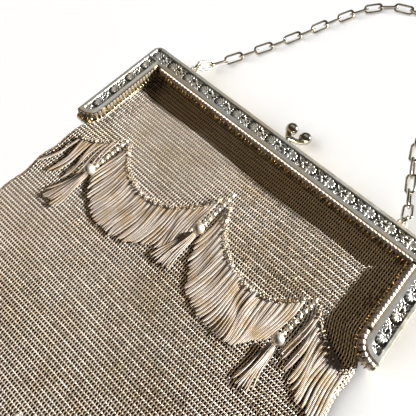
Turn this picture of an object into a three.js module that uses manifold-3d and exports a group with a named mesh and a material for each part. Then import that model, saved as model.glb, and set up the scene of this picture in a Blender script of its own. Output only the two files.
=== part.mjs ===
// Ring-mesh purse lying on its back: a hinged metal frame with a relief front, a kiss-lock
// clasp, a link chain, a hollow mesh bag and two garlands of fringe, beads and tassels.
// Millimetres. X runs along the frame's bar, Y from the bag's foot to the chain, Z up.
// While it is built, y is 0 at the bar's outer edge and z is 0 at the surface it lies on.
import * as THREE from 'three';
import { mergeVertices } from 'three/addons/utils/BufferGeometryUtils.js';
import Module from 'manifold-3d';

// Frame: two halves, each a flat upside-down U, closed face to face.
const FRAME_WIDTH = 165;
const BAR_WIDTH = 9.9;
const ARM_WIDTH = 8.85;
const ARM_LENGTH = 53.5;
const ARM_TIP_CURVE = 8.5;
const CORNER_RADIUS = 3;
const HALF_DEPTH = 5.4;
const HALF_GAP = 0.4;
const EDGE_BEVEL = 0.6;

// Relief band on the front half: a sunk channel with raised shells and crossed stems.
const OUTER_RIM = 1.8;
const INNER_RIM = 2.3;
const CHANNEL_DEPTH = 0.8;
const RELIEF_HEIGHT = 0.6;
const RELIEF_PITCH = 10.3;
const SHELL_LOBES = 3;
const STEM_WIDTH = 0.7;

// Rail inside the front half that the mesh hangs from.
const RAIL_REACH = 0.9;
const RAIL_DEPTH = 1.2;
const RAIL_BELOW_FACE = 1.9;

// Hinges at the tips of the arms.
const KNUCKLE_RADIUS = 2;
const KNUCKLE_LENGTH = 3.2;
const PIN_RADIUS = 0.8;
const PIN_HEAD_RADIUS = 1.4;
const PIN_HEAD_HEIGHT = 0.5;

// Kiss-lock clasp: two balls on crossed stems.
const BALL_RADIUS = 3.1;
const BALL_SPACING = 7.8;
const BALL_STAND = 9.7;
const STEM_RADIUS = 0.95;
const STEM_OFFSET = 1.4;
const FOOT_RADIUS = 1.7;
const FOOT_HEIGHT = 0.8;

// Eyes on the bar and the chain between them.
const EYE_SPACING = 120;
const EYE_RADIUS = 1.8;
const EYE_WIRE = 1.1;
const LINK_LENGTH = 12;
const LINK_WIDTH = 5;
const LINK_WIRE = 1.2;
const LINK_BITE = 0.3;
const CHAIN_REST_GAP = 0.05;
const LINK_SIDES = 5;
const JUMP_RING_RADIUS = 1.9;

// Bag: a flattened tube of ring mesh, closed at its foot.
const BAG_WIDTH = 158.6;
const BAG_LENGTH = 193;
const MESH_THICKNESS = 1.2;
const BAG_THICKNESS = 7;
const BAG_EDGE_ROUND = 3.2;
const TUCKED_EDGE_ROUND = 0.6;
const MESH_RISE_RUN = 12;
const BILLOW = 0.25;
const BILLOW_LENGTH = 74;
const FLARE_LENGTH = 5;

// Garlands of fringe: one below the frame and one at the foot of the bag.
const FIRST_PEAK = 33.2;
const GARLAND_STEP = 114;
const PEAK_SPACING = 53.5;
const GARLAND_SHIFT = -1;
const SIDE_PEAK_DROP = 12.2;
const SWAG_DEPTH = 35;
const STRAND_LENGTH = 22.5;
const LOCK_PITCH = 4.6;
const LOCK_WIDTH = 3.7;
const FRINGE_THICKNESS = 1.2;
const BAND_WIDTH = 2.4;

// Bead strings that end in a ball with a tassel.
const BEAD_COUNT = 7;
const BEAD_RADIUS = 0.95;
const BEAD_PITCH = 3;
const STRING_START = 2.2;
const BIG_BALL_RADIUS = 2.65;
const TASSEL_LENGTH = 19;
const TASSEL_HEAD = 3;
const TASSEL_WIDTH = 6;
const TASSEL_LOCKS = 4;

// Room kept beside a peak for its bead string, and for its ball and tassel.
const STRING_CLEARANCE = 4.2;
const TASSEL_CLEARANCE = 7.2;

// Gap between pieces that touch on the real purse.
const SEAT = 0.3;

// How far the bead string and the tassel lean at each peak, in degrees.
const DROPS = [
  { side: 'left', across: -1, stringLean: -1, tasselLean: -9 },
  { side: 'centre', across: 0, stringLean: -1, tasselLean: -7 },
  { side: 'right', across: 1, stringLean: -6, tasselLean: -1 },
];

// The chain's route as it lies beyond the bar, from the left eye to the right one.
const CHAIN_ROUTE = [
  [-58.0, 14.3], [-52.1, 31.3], [-44.6, 48.8], [-37.6, 67.4], [-31.2, 86.3], [-22.9, 105.9],
  [-11.2, 119.3], [-0.6, 123.3], [11, 121], [22, 111.5], [30, 96], [36, 77], [41, 60],
  [45.2, 44.3], [49.7, 34.1], [54.0, 24.6], [57.8, 15],
];

const HALF_WIDTH = FRAME_WIDTH / 2;
const INNER_HALF = HALF_WIDTH - ARM_WIDTH;
const FACE = HALF_DEPTH * 2 + HALF_GAP;
const MIDDLE = FACE / 2;
const FRONT_HALF_BASE = HALF_DEPTH + HALF_GAP;
const RAIL_TOP = FACE - RAIL_BELOW_FACE;
const HINGE_Y = -ARM_LENGTH;
const MOUTH_Y = -BAR_WIDTH - SEAT;
const BAG_END = MOUTH_Y - BAG_LENGTH;
const MOUTH_HALF = INNER_HALF - SEAT;
const FLARE_START = HINGE_Y - KNUCKLE_RADIUS - SEAT;
const STRING_LENGTH = STRING_START + BEAD_RADIUS + (BEAD_COUNT - 0.5) * BEAD_PITCH;
const MESH_RISE = RAIL_TOP - RAIL_DEPTH - SEAT - BILLOW - BAG_THICKNESS;

const silver = { metalness: 1, roughness: 0.34 };
const finishes = {
  frame: new THREE.MeshStandardMaterial({ color: 0x9d9c97, ...silver }),
  polished: new THREE.MeshStandardMaterial({ color: 0xc9c4b8, metalness: 1, roughness: 0.16 }),
  mesh: new THREE.MeshStandardMaterial({ color: 0xa79d92, ...silver }),
  fringe: new THREE.MeshStandardMaterial({ color: 0xb0a596, ...silver }),
};

const wasm = await Module();
wasm.setup();

const purse = new THREE.Group();

/** Adds one named piece to the purse. */
function addPiece(name, geometry, material) {
  const piece = new THREE.Mesh(geometry, material);
  piece.name = name;
  purse.add(piece);
  return piece;
}

/** The geometry with shared vertices, and without the flat triangles at its poles. */
function welded(geometry) {
  const bare = geometry.clone();
  bare.deleteAttribute('normal');
  bare.deleteAttribute('uv');
  const merged = mergeVertices(bare, 1e-4);
  const kept = [];
  const index = merged.index.array;
  for (let i = 0; i < index.length; i += 3) {
    const [a, b, c] = [index[i], index[i + 1], index[i + 2]];
    if (a !== b && b !== c && c !== a) kept.push(a, b, c);
  }
  merged.setIndex(kept);
  return merged;
}

/** A solid for joining and cutting, from a closed geometry. */
function toSolid(geometry) {
  const closed = welded(geometry);
  return new wasm.Manifold(new wasm.Mesh({
    numProp: 3,
    vertProperties: Float32Array.from(closed.attributes.position.array),
    triVerts: Uint32Array.from(closed.index.array),
  }));
}

/** A geometry with flat normals, from a solid. */
function toGeometry(solid) {
  const mesh = solid.getMesh();
  const geometry = new THREE.BufferGeometry();
  geometry.setAttribute('position', new THREE.BufferAttribute(mesh.vertProperties, 3));
  geometry.setIndex(new THREE.BufferAttribute(mesh.triVerts, 1));
  geometry.computeVertexNormals();
  return geometry;
}

/** All the geometries joined into one solid. */
function fused(geometries) {
  return geometries.map(toSolid).reduce((whole, next) => whole.add(next));
}

/** Evenly spaced values from one end to the other, without the last. */
function levels(from, to, count) {
  return Array.from({ length: count }, (_, i) => THREE.MathUtils.lerp(from, to, i / count));
}

/** An extrusion along +Z from a height. */
function plate(shape, base, height, options = {}) {
  const geometry = new THREE.ExtrudeGeometry(shape, { depth: height, bevelEnabled: false, ...options });
  return geometry.translate(0, 0, base);
}

/** A cylinder along X between two values of x. */
function barrel(from, to, radius, sides = 12) {
  const geometry = new THREE.CylinderGeometry(radius, radius, Math.abs(to - from), sides);
  return geometry.rotateZ(Math.PI / 2).translate((from + to) / 2, HINGE_Y, MIDDLE);
}

/** A tube along a curve, with a round section of few sides. */
function tube(curve, radius, sides, steps) {
  const section = new THREE.Shape();
  for (let i = 0; i < sides; i += 1) {
    const turn = (i / sides) * Math.PI * 2;
    const corner = [Math.cos(turn) * radius, Math.sin(turn) * radius];
    if (i === 0) section.moveTo(...corner);
    else section.lineTo(...corner);
  }
  return new THREE.ExtrudeGeometry(section, { steps, extrudePath: curve, curveSegments: 1 });
}

/** The outline of one frame half: bar, arms with rounded outer corners and curved tips. */
function frameOutline() {
  const shape = new THREE.Shape();
  const tip = -ARM_LENGTH;
  const curveTop = tip + ARM_TIP_CURVE;
  shape.moveTo(-HALF_WIDTH, tip);
  shape.lineTo(-HALF_WIDTH, -CORNER_RADIUS);
  shape.absarc(-HALF_WIDTH + CORNER_RADIUS, -CORNER_RADIUS, CORNER_RADIUS, Math.PI, Math.PI / 2, true);
  shape.lineTo(HALF_WIDTH - CORNER_RADIUS, 0);
  shape.absarc(HALF_WIDTH - CORNER_RADIUS, -CORNER_RADIUS, CORNER_RADIUS, Math.PI / 2, 0, true);
  shape.lineTo(HALF_WIDTH, tip);
  shape.quadraticCurveTo(INNER_HALF, tip, INNER_HALF, curveTop);
  shape.lineTo(INNER_HALF, -BAR_WIDTH);
  shape.lineTo(-INNER_HALF, -BAR_WIDTH);
  shape.lineTo(-INNER_HALF, curveTop);
  shape.quadraticCurveTo(-INNER_HALF, tip, -HALF_WIDTH, tip);
  return shape;
}

/** One frame half with softened edges, from a height up. */
function frameHalf(base) {
  return plate(frameOutline(), base + EDGE_BEVEL, HALF_DEPTH - 2 * EDGE_BEVEL, {
    bevelEnabled: true,
    bevelThickness: EDGE_BEVEL,
    bevelSize: EDGE_BEVEL,
    bevelOffset: -EDGE_BEVEL,
    bevelSegments: 1,
    curveSegments: 4,
  });
}

/** The sunk band of the bar, from corner to corner. */
function barChannel() {
  const end = HALF_WIDTH - OUTER_RIM;
  const shape = new THREE.Shape();
  shape.moveTo(-end, -BAR_WIDTH + INNER_RIM);
  shape.lineTo(end, -BAR_WIDTH + INNER_RIM);
  shape.lineTo(end, -OUTER_RIM - CORNER_RADIUS / 2);
  shape.lineTo(end - CORNER_RADIUS / 2, -OUTER_RIM);
  shape.lineTo(-end + CORNER_RADIUS / 2, -OUTER_RIM);
  shape.lineTo(-end, -OUTER_RIM - CORNER_RADIUS / 2);
  return plate(shape, FACE - CHANNEL_DEPTH, CHANNEL_DEPTH * 2);
}

/** The sunk band of one arm, which narrows into the curve of its tip. */
function armChannel(side) {
  const outer = side * (HALF_WIDTH - OUTER_RIM);
  const inner = side * (INNER_HALF + INNER_RIM);
  const top = -BAR_WIDTH + INNER_RIM - STEM_WIDTH * 2;
  const foot = -ARM_LENGTH + OUTER_RIM * 1.6;
  const shape = new THREE.Shape();
  shape.moveTo(inner, top);
  shape.lineTo(outer, top);
  shape.lineTo(outer, foot);
  shape.quadraticCurveTo(inner, foot, inner, foot + ARM_TIP_CURVE - OUTER_RIM);
  return plate(shape, FACE - CHANNEL_DEPTH, CHANNEL_DEPTH * 2, { curveSegments: 3 });
}

/** A scalloped shell that opens along +X. */
function shell(radius) {
  const shape = new THREE.Shape();
  const spread = Math.PI * 0.9;
  shape.moveTo(-radius * 0.45, 0);
  for (let i = 0; i <= SHELL_LOBES * 2; i += 1) {
    const turn = (spread * i) / (SHELL_LOBES * 2) - spread / 2;
    const reach = radius * (i % 2 ? 1 : 0.84);
    shape.lineTo(Math.cos(turn) * reach, Math.sin(turn) * reach);
  }
  return plate(shape, -CHANNEL_DEPTH / 2, CHANNEL_DEPTH / 2 + RELIEF_HEIGHT);
}

/** Two crossed stems across a band of the given width. */
function crossedStems(width) {
  const reach = width * 1.1;
  const tilt = THREE.MathUtils.degToRad(50);
  return [-tilt, tilt].map((turn) => {
    const bar = new THREE.BoxGeometry(reach, STEM_WIDTH, CHANNEL_DEPTH / 2 + RELIEF_HEIGHT * 0.8);
    return bar.translate(0, 0, RELIEF_HEIGHT * 0.4 - CHANNEL_DEPTH / 4).rotateZ(turn);
  });
}

/** The relief motifs along one straight band, which open away from its start. */
function reliefRow(startX, startY, turn, width, count) {
  const pieces = [];
  for (let i = 0; i < count; i += 1) {
    pieces.push(shell(width * 0.42).translate(RELIEF_PITCH * i, 0, 0));
    if (i > 0) {
      const stems = crossedStems(width).map((stem) => stem.translate(RELIEF_PITCH * (i - 0.5), 0, 0));
      pieces.push(...stems);
    }
  }
  const floor = FACE - CHANNEL_DEPTH;
  return pieces.map((piece) => piece.rotateZ(turn).translate(startX, startY, floor));
}

/** All the relief: two rows away from the middle of the bar, and one down each arm. */
function relief() {
  const barBand = BAR_WIDTH - OUTER_RIM - INNER_RIM;
  const armBand = ARM_WIDTH - OUTER_RIM - INNER_RIM;
  const barY = -OUTER_RIM - barBand / 2;
  const armX = HALF_WIDTH - OUTER_RIM - armBand / 2;
  const armTop = -BAR_WIDTH - RELIEF_PITCH * 0.35;
  const perSide = Math.floor((HALF_WIDTH - OUTER_RIM) / RELIEF_PITCH);
  const perArm = Math.floor((ARM_LENGTH + armTop - OUTER_RIM) / RELIEF_PITCH) + 1;
  return [
    ...reliefRow(RELIEF_PITCH * 0.6, barY, 0, barBand, perSide),
    ...reliefRow(-RELIEF_PITCH * 0.6, barY, Math.PI, barBand, perSide),
    ...reliefRow(armX, armTop, -Math.PI / 2, armBand, perArm),
    ...reliefRow(-armX, armTop, -Math.PI / 2, armBand, perArm),
  ];
}

/** The rail round the inside of the front half. */
function meshRail() {
  const reach = RAIL_REACH;
  const inner = INNER_HALF - reach;
  const foot = -ARM_LENGTH + ARM_TIP_CURVE;
  const root = EDGE_BEVEL;
  const shape = new THREE.Shape();
  shape.moveTo(-INNER_HALF - root, foot);
  shape.lineTo(-INNER_HALF - root, -BAR_WIDTH + root);
  shape.lineTo(INNER_HALF + root, -BAR_WIDTH + root);
  shape.lineTo(INNER_HALF + root, foot);
  shape.lineTo(inner, foot);
  shape.lineTo(inner, -BAR_WIDTH - reach);
  shape.lineTo(-inner, -BAR_WIDTH - reach);
  shape.lineTo(-inner, foot);
  return plate(shape, RAIL_TOP - RAIL_DEPTH, RAIL_DEPTH);
}

/** An eye for the chain: a flat ring soldered to the bar's outer edge. */
function chainEye(side) {
  const ring = new THREE.TorusGeometry(EYE_RADIUS, EYE_WIRE / 2, 5, 10);
  return ring.translate((side * EYE_SPACING) / 2, EYE_RADIUS, FRONT_HALF_BASE + HALF_DEPTH / 2);
}

/** Where each half's knuckle lies along X, counted from the outside of the arm. */
const KNUCKLES = {
  front: [HALF_WIDTH - KNUCKLE_LENGTH, HALF_WIDTH],
  back: [HALF_WIDTH - SEAT - 2 * KNUCKLE_LENGTH, HALF_WIDTH - SEAT - KNUCKLE_LENGTH],
};

/** Adds a half's own knuckles, clears the other half's and drills both for the pins. */
function withKnuckles(half, own, other) {
  let solid = half;
  for (const side of [-1, 1]) {
    const cleared = KNUCKLES[other].map((x) => side * x);
    const room = SEAT * side;
    const clearance = barrel(cleared[0] - room, cleared[1] + room, KNUCKLE_RADIUS + SEAT);
    const knuckle = barrel(side * KNUCKLES[own][0], side * KNUCKLES[own][1], KNUCKLE_RADIUS);
    const ends = [side * (KNUCKLES.back[0] - SEAT), side * (HALF_WIDTH + SEAT)];
    const bore = barrel(ends[0], ends[1], PIN_RADIUS + SEAT, 8);
    solid = solid.subtract(toSolid(clearance)).add(toSolid(knuckle)).subtract(toSolid(bore));
  }
  return solid;
}

/** The front half: relief face, rail, chain eyes and its knuckles. */
function frameFront() {
  const bands = [barChannel(), armChannel(-1), armChannel(1)];
  const body = bands.reduce((half, band) => half.subtract(toSolid(band)), toSolid(frameHalf(FRONT_HALF_BASE)));
  const dressed = [...relief(), meshRail(), chainEye(-1), chainEye(1)].map(toSolid);
  const whole = dressed.reduce((half, piece) => half.add(piece), body);
  return withKnuckles(whole, 'front', 'back');
}

/** The back half, which is plain and flat where it rests. */
function frameBack() {
  return withKnuckles(toSolid(frameHalf(0)), 'back', 'front');
}

/** A hinge pin with a flat head at each end. */
function hingePin(side) {
  const start = KNUCKLES.back[0] - SEAT - PIN_HEAD_HEIGHT;
  const end = HALF_WIDTH + SEAT + PIN_HEAD_HEIGHT;
  const profile = [
    [0, start],
    [PIN_HEAD_RADIUS, start],
    [PIN_HEAD_RADIUS, start + PIN_HEAD_HEIGHT],
    [PIN_RADIUS, start + PIN_HEAD_HEIGHT],
    [PIN_RADIUS, end - PIN_HEAD_HEIGHT],
    [PIN_HEAD_RADIUS, end - PIN_HEAD_HEIGHT],
    [PIN_HEAD_RADIUS, end],
    [0, end],
  ].map(([radius, along]) => new THREE.Vector2(radius, along));
  const pin = new THREE.LatheGeometry(profile, 8).rotateZ((-side * Math.PI) / 2);
  return welded(pin.translate(0, HINGE_Y, MIDDLE));
}

/** One clasp knob: a foot on the half's outer edge, a bent stem and a ball. */
function claspKnob(side, footZ) {
  const ballX = (side * BALL_SPACING) / 2;
  const footX = -side * STEM_OFFSET;
  const footTop = SEAT + FOOT_HEIGHT;
  const rise = BALL_STAND - footTop;
  const foot = new THREE.CylinderGeometry(FOOT_RADIUS, FOOT_RADIUS, FOOT_HEIGHT, 8);
  foot.translate(footX, SEAT + FOOT_HEIGHT / 2, footZ);
  const stem = tube(new THREE.CatmullRomCurve3([
    new THREE.Vector3(footX, footTop - FOOT_HEIGHT / 2, footZ),
    new THREE.Vector3(footX, footTop + rise * 0.2, THREE.MathUtils.lerp(footZ, MIDDLE, 0.05)),
    new THREE.Vector3(ballX * 0.55, footTop + rise * 0.42, THREE.MathUtils.lerp(footZ, MIDDLE, 0.35)),
    new THREE.Vector3(ballX, BALL_STAND, MIDDLE),
  ]), STEM_RADIUS, 6, 6);
  const ball = new THREE.SphereGeometry(BALL_RADIUS, 12, 7).rotateX(Math.PI / 2);
  ball.translate(ballX, BALL_STAND, MIDDLE);
  return fused([foot, stem, ball]);
}

/** The corners of a long loop with round ends, which lies along X. */
function loopCorners(length, width, wire) {
  const straight = (length - width) / 2;
  const round = (width - wire) / 2;
  const corners = [];
  for (const side of [1, -1]) {
    for (let i = 0; i <= 4; i += 1) {
      const turn = -Math.PI / 2 + (Math.PI * i) / 4;
      const x = side * (straight + Math.cos(turn) * round);
      corners.push(new THREE.Vector3(x, side * Math.sin(turn) * round, 0));
    }
  }
  return corners;
}

/** A closed tube through the corners of a flat loop: a ring drawn out to the loop's shape. */
function loopTube(corners, radius, sides) {
  const count = corners.length;
  const ring = new THREE.TorusGeometry(1, 1, sides, count);
  const up = new THREE.Vector3(0, 0, 1);
  for (let j = 0; j <= sides; j += 1) {
    const turn = (j / sides) * Math.PI * 2;
    for (let i = 0; i <= count; i += 1) {
      const next = corners[(i + 1) % count];
      const last = corners[(i + count - 1) % count];
      const outward = new THREE.Vector3().subVectors(next, last).normalize().cross(up);
      const spot = corners[i % count].clone().addScaledVector(outward, Math.cos(turn) * radius);
      spot.addScaledVector(up, Math.sin(turn) * radius);
      ring.attributes.position.setXYZ(j * (count + 1) + i, spot.x, spot.y, spot.z);
    }
  }
  return ring;
}

/** Turns a piece that lies along X to the line between two points, rolled about that line. */
function laidBetween(geometry, from, to, roll) {
  const along = new THREE.Vector3().subVectors(to, from).normalize();
  const across = new THREE.Vector3(0, 0, 1).cross(along).normalize();
  const upward = new THREE.Vector3().crossVectors(along, across);
  const frame = new THREE.Matrix4().makeBasis(along, across, upward);
  const middle = new THREE.Vector3().addVectors(from, to).multiplyScalar(0.5);
  return geometry.rotateX(roll).applyMatrix4(frame.setPosition(middle));
}

/** The chain: a jump ring in each eye, and links that lie flat and on edge by turns. */
function chain() {
  const restZ = LINK_WIDTH / 2 + CHAIN_REST_GAP;
  const eyeZ = FRONT_HALF_BASE + HALF_DEPTH / 2;
  const ringNear = EYE_RADIUS * 2 - EYE_WIRE / 2 - SEAT - LINK_WIRE / 2;
  const ringFar = ringNear + JUMP_RING_RADIUS * 2;
  const hang = ringFar - (LINK_WIRE - LINK_BITE) / 2;
  const ends = [-1, 1].map((side) => new THREE.Vector3((side * EYE_SPACING) / 2, hang, eyeZ));
  const laid = CHAIN_ROUTE.map(([x, y], i) => {
    const nearEye = i === 0 || i === CHAIN_ROUTE.length - 1;
    return new THREE.Vector3(x, y, nearEye ? THREE.MathUtils.lerp(restZ, eyeZ, 0.35) : restZ);
  });
  const route = new THREE.CatmullRomCurve3([ends[0], ...laid, ends[1]]);
  const pitch = LINK_LENGTH - 2 * LINK_WIRE;
  const count = Math.round(route.getLength() / pitch / 2) * 2 + 1;
  const joints = route.getSpacedPoints(count).map((joint) => joint.setZ(Math.max(joint.z, restZ)));
  const pieces = [-1, 1].map((side) => {
    const ring = new THREE.TorusGeometry(JUMP_RING_RADIUS, LINK_WIRE / 2, LINK_SIDES, 10);
    return ring.rotateY(Math.PI / 2).translate((side * EYE_SPACING) / 2, ringNear + JUMP_RING_RADIUS, eyeZ);
  });
  for (let i = 0; i < count; i += 1) {
    const reach = joints[i].distanceTo(joints[i + 1]) + 2 * LINK_WIRE - LINK_BITE;
    const piece = loopTube(loopCorners(reach, LINK_WIDTH, LINK_WIRE), LINK_WIRE / 2, LINK_SIDES);
    pieces.push(laidBetween(piece, joints[i], joints[i + 1], i % 2 ? Math.PI / 2 : 0));
  }
  return fused(pieces);
}

/** How far the front sheet climbs at a place, to hang from the rail by the bar and the arms. */
function meshRise(x, y) {
  const { smoothstep } = THREE.MathUtils;
  const byBar = 1 - smoothstep(MOUTH_Y - y, 0, MESH_RISE_RUN);
  const byArm = 1 - smoothstep(MOUTH_HALF - Math.abs(x), 0, MESH_RISE_RUN);
  const besideArm = 1 - smoothstep(-y, ARM_LENGTH - ARM_TIP_CURVE, ARM_LENGTH);
  return MESH_RISE * Math.max(byBar, byArm * besideArm);
}

/** The height of the bag's front sheet, with its slow billows. */
function frontHeight(x, y) {
  const turn = (Math.PI * 2) / BILLOW_LENGTH;
  const billow = BILLOW * Math.sin(x * turn + 1) * Math.sin(y * turn * 0.8);
  return BAG_THICKNESS + meshRise(x, y) + billow;
}

/** Half the bag's width: tucked between the arms, then flared past the hinges. */
function bagHalfWidth(y) {
  const flare = THREE.MathUtils.smoothstep(-y, -FLARE_START, -FLARE_START + FLARE_LENGTH);
  return THREE.MathUtils.lerp(MOUTH_HALF, BAG_WIDTH / 2, flare);
}

/** A flattened tube along the bag's rows, inset by a wall. The inset one runs out of the mouth. */
function bagBody(wall, columns, sideSteps) {
  const riseEnd = MOUTH_Y - MESH_RISE_RUN;
  const flareEnd = FLARE_START - FLARE_LENGTH;
  const rows = [
    ...levels(MOUTH_Y + wall, riseEnd, 2),
    ...levels(riseEnd, FLARE_START, 3),
    FLARE_START,
    ...levels(flareEnd, BAG_END + BAG_EDGE_ROUND, 5),
    BAG_END + BAG_EDGE_ROUND,
    BAG_END,
  ];
  const last = rows.length - 1;
  const body = new THREE.BoxGeometry(1, 1, 1, columns, last, sideSteps);
  const position = body.attributes.position;
  for (let i = 0; i < position.count; i += 1) {
    const share = Math.sin(position.getX(i) * Math.PI);
    const row = rows[Math.round((0.5 - position.getY(i)) * last)];
    const level = position.getZ(i) * 2;
    const flared = (bagHalfWidth(row) - MOUTH_HALF) / (BAG_WIDTH / 2 - MOUTH_HALF);
    const round = THREE.MathUtils.lerp(TUCKED_EDGE_ROUND, BAG_EDGE_ROUND, flared);
    const belly = 1 - Math.sqrt(1 - level * level);
    const fromFoot = THREE.MathUtils.clamp((row - BAG_END) / BAG_EDGE_ROUND, 0, 1);
    const foot = Math.sqrt(1 - (1 - fromFoot) ** 2);
    const x = share * (bagHalfWidth(row) - wall - belly * round);
    const y = row === rows[last] ? row + wall : row;
    const top = frontHeight(x, y) - wall;
    const middle = BAG_THICKNESS / 2;
    const height = THREE.MathUtils.lerp(wall, top, (level + 1) / 2);
    position.setXYZ(i, x, y, THREE.MathUtils.lerp(middle, height, Math.max(foot, 0.35)));
  }
  return body;
}

/** The bag: a hollow tube of ring mesh whose mouth is open between the frame halves. */
function meshBag() {
  return toSolid(bagBody(0, 12, 4)).subtract(toSolid(bagBody(MESH_THICKNESS, 8, 2)));
}

/** Lays a flat piece on the front sheet, with its own heights kept above it. */
function draped(solid) {
  const geometry = toGeometry(solid);
  const position = geometry.attributes.position;
  for (let i = 0; i < position.count; i += 1) {
    const [x, y, z] = [position.getX(i), position.getY(i), position.getZ(i)];
    position.setZ(i, z + SEAT + frontHeight(x, y));
  }
  geometry.computeVertexNormals();
  return geometry;
}

/** A point of the front sheet, raised by a height and its seat. */
function onSheet(x, y, height) {
  return new THREE.Vector3(x, y, frontHeight(x, y) + SEAT + height);
}

/** The garland's peaks, from left to right, for one row of it. */
function peaks(top) {
  return DROPS.map(({ side, across, stringLean, tasselLean }) => ({
    side,
    stringLean: THREE.MathUtils.degToRad(stringLean),
    tasselLean: THREE.MathUtils.degToRad(tasselLean),
    x: GARLAND_SHIFT + across * PEAK_SPACING,
    y: -top - Math.abs(across) * SIDE_PEAK_DROP,
  }));
}

/** The line that a swag's strands hang from, given as heights at every x. */
function swagLine(from, to, depth) {
  const top = Math.max(from.y, to.y);
  const pull = (end) => (end.y === top ? depth * 0.94 : depth * 1.15);
  const inset = (end) => (to.x - from.x) * (end.y === top ? 0.13 : 0.25);
  const curve = new THREE.CubicBezierCurve(
    new THREE.Vector2(from.x, from.y),
    new THREE.Vector2(from.x + inset(from), top - pull(from)),
    new THREE.Vector2(to.x - inset(to), top - pull(to)),
    new THREE.Vector2(to.x, to.y),
  );
  const points = curve.getPoints(60);
  return (x) => {
    const after = points.findIndex((point, i) => i > 0 && point.x >= x);
    const [a, b] = [points[after - 1], points[after]];
    return THREE.MathUtils.mapLinear(x, a.x, b.x, a.y, b.y);
  };
}

/** The line of the half swag between a side peak and the bag's edge. */
function halfSwagLine(peak) {
  const outward = Math.sign(peak.x);
  const edge = outward * (BAG_WIDTH / 2 - BAG_EDGE_ROUND);
  const curve = new THREE.QuadraticBezierCurve(
    new THREE.Vector2(peak.x, peak.y),
    new THREE.Vector2(THREE.MathUtils.lerp(peak.x, edge, 0.25), peak.y - SWAG_DEPTH * 0.42),
    new THREE.Vector2(edge, peak.y - SWAG_DEPTH * 0.5),
  );
  const points = curve.getPoints(40);
  return (x) => {
    const after = points.findIndex((point, i) => i > 0 && (point.x - x) * outward >= 0);
    const [a, b] = [points[after - 1], points[after]];
    return THREE.MathUtils.mapLinear(x, a.x, b.x, a.y, b.y);
  };
}

/** One swag: locks of strands side by side, fused to the band that they hang from. */
function swag(line, from, to) {
  const bandShape = new THREE.Shape();
  const bandPoints = [...levels(from, to, 7), to].map((x) => new THREE.Vector2(x, line(x)));
  const upper = bandPoints.map((point) => new THREE.Vector2(point.x, point.y + BAND_WIDTH / 2));
  const lower = bandPoints.map((point) => new THREE.Vector2(point.x, point.y - BAND_WIDTH / 2));
  bandShape.setFromPoints([...lower, ...upper.reverse()]);
  const pieces = [plate(bandShape, 0, FRINGE_THICKNESS)];
  const width = to - from - LOCK_WIDTH;
  const count = Math.max(1, Math.round(width / LOCK_PITCH));
  for (let i = 0; i <= count; i += 1) {
    const x = from + LOCK_WIDTH / 2 + (width * i) / count;
    const length = STRAND_LENGTH * (1 + 0.03 * Math.sin(i * 2.4));
    const lock = new THREE.BoxGeometry(LOCK_WIDTH, length, FRINGE_THICKNESS * 0.85);
    pieces.push(lock.translate(x, line(x) - length / 2, FRINGE_THICKNESS * 0.425));
  }
  return draped(fused(pieces));
}

/** The string of seed beads that hangs from a peak, as a plain round tube. */
function beadString(peak) {
  const string = new THREE.CylinderGeometry(BEAD_RADIUS, BEAD_RADIUS, STRING_LENGTH - STRING_START, 10);
  string.translate(0, -(STRING_LENGTH + STRING_START) / 2, BEAD_RADIUS).rotateZ(peak.stringLean);
  return draped(toSolid(string.translate(peak.x, peak.y, 0)));
}

/** The middle of the ball at the end of a peak's bead string. */
function ballCentre(peak) {
  const reach = STRING_LENGTH + BIG_BALL_RADIUS + SEAT;
  const x = peak.x + Math.sin(peak.stringLean) * reach;
  const y = peak.y - Math.cos(peak.stringLean) * reach;
  return onSheet(x, y, BIG_BALL_RADIUS);
}

/** A tassel: a head below the ball and locks that fan out from it over the sheet. */
function tassel(peak) {
  const centre = ballCentre(peak);
  const top = BIG_BALL_RADIUS + SEAT;
  const head = new THREE.CylinderGeometry(TASSEL_HEAD * 0.4, TASSEL_HEAD * 0.55, TASSEL_HEAD, 8);
  const thick = TASSEL_HEAD * 0.7;
  const pieces = [head.translate(0, -top - TASSEL_HEAD / 2, TASSEL_HEAD * 0.55)];
  const length = TASSEL_LENGTH - TASSEL_HEAD / 2;
  const fan = Math.atan2(TASSEL_WIDTH / 2, TASSEL_LENGTH);
  for (let i = 0; i < TASSEL_LOCKS; i += 1) {
    const share = (i / (TASSEL_LOCKS - 1)) * 2 - 1;
    const lock = new THREE.BoxGeometry(TASSEL_WIDTH / TASSEL_LOCKS, length, thick * (1 - 0.2 * (i % 2)));
    const middle = top + TASSEL_HEAD / 2 + length / 2;
    pieces.push(lock.translate(0, -middle, thick / 2).rotateZ(share * fan));
  }
  const lying = fused(pieces.map((piece) => piece.rotateZ(peak.tasselLean)));
  return draped(lying.translate([centre.x, centre.y, 0]));
}

/** One garland: two swags, two half swags, and a bead string, ball and tassel at each peak. */
function addGarland(row, top) {
  const [left, centre, right] = peaks(top);
  const clearRight = TASSEL_CLEARANCE;
  const clearLeft = STRING_CLEARANCE;
  const edge = BAG_WIDTH / 2 - BAG_EDGE_ROUND;
  const swags = [
    ['half_swag_left', halfSwagLine(left), -edge, left.x - clearRight],
    ['swag_left', swagLine(left, centre, SWAG_DEPTH), left.x + clearLeft, centre.x - clearRight],
    ['swag_right', swagLine(centre, right, SWAG_DEPTH), centre.x + clearLeft, right.x - clearRight],
    ['half_swag_right', halfSwagLine(right), right.x + clearLeft, edge],
  ];
  for (const [name, line, from, to] of swags) {
    addPiece(`${row}_${name}`, swag(line, from, to), finishes.fringe);
  }
  for (const peak of [left, centre, right]) {
    const ball = new THREE.SphereGeometry(BIG_BALL_RADIUS, 10, 6);
    const place = ballCentre(peak);
    addPiece(`${row}_bead_string_${peak.side}`, beadString(peak), finishes.polished);
    addPiece(`${row}_ball_${peak.side}`, welded(ball), finishes.polished).position.copy(place);
    addPiece(`${row}_tassel_${peak.side}`, tassel(peak), finishes.fringe);
  }
}

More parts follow.
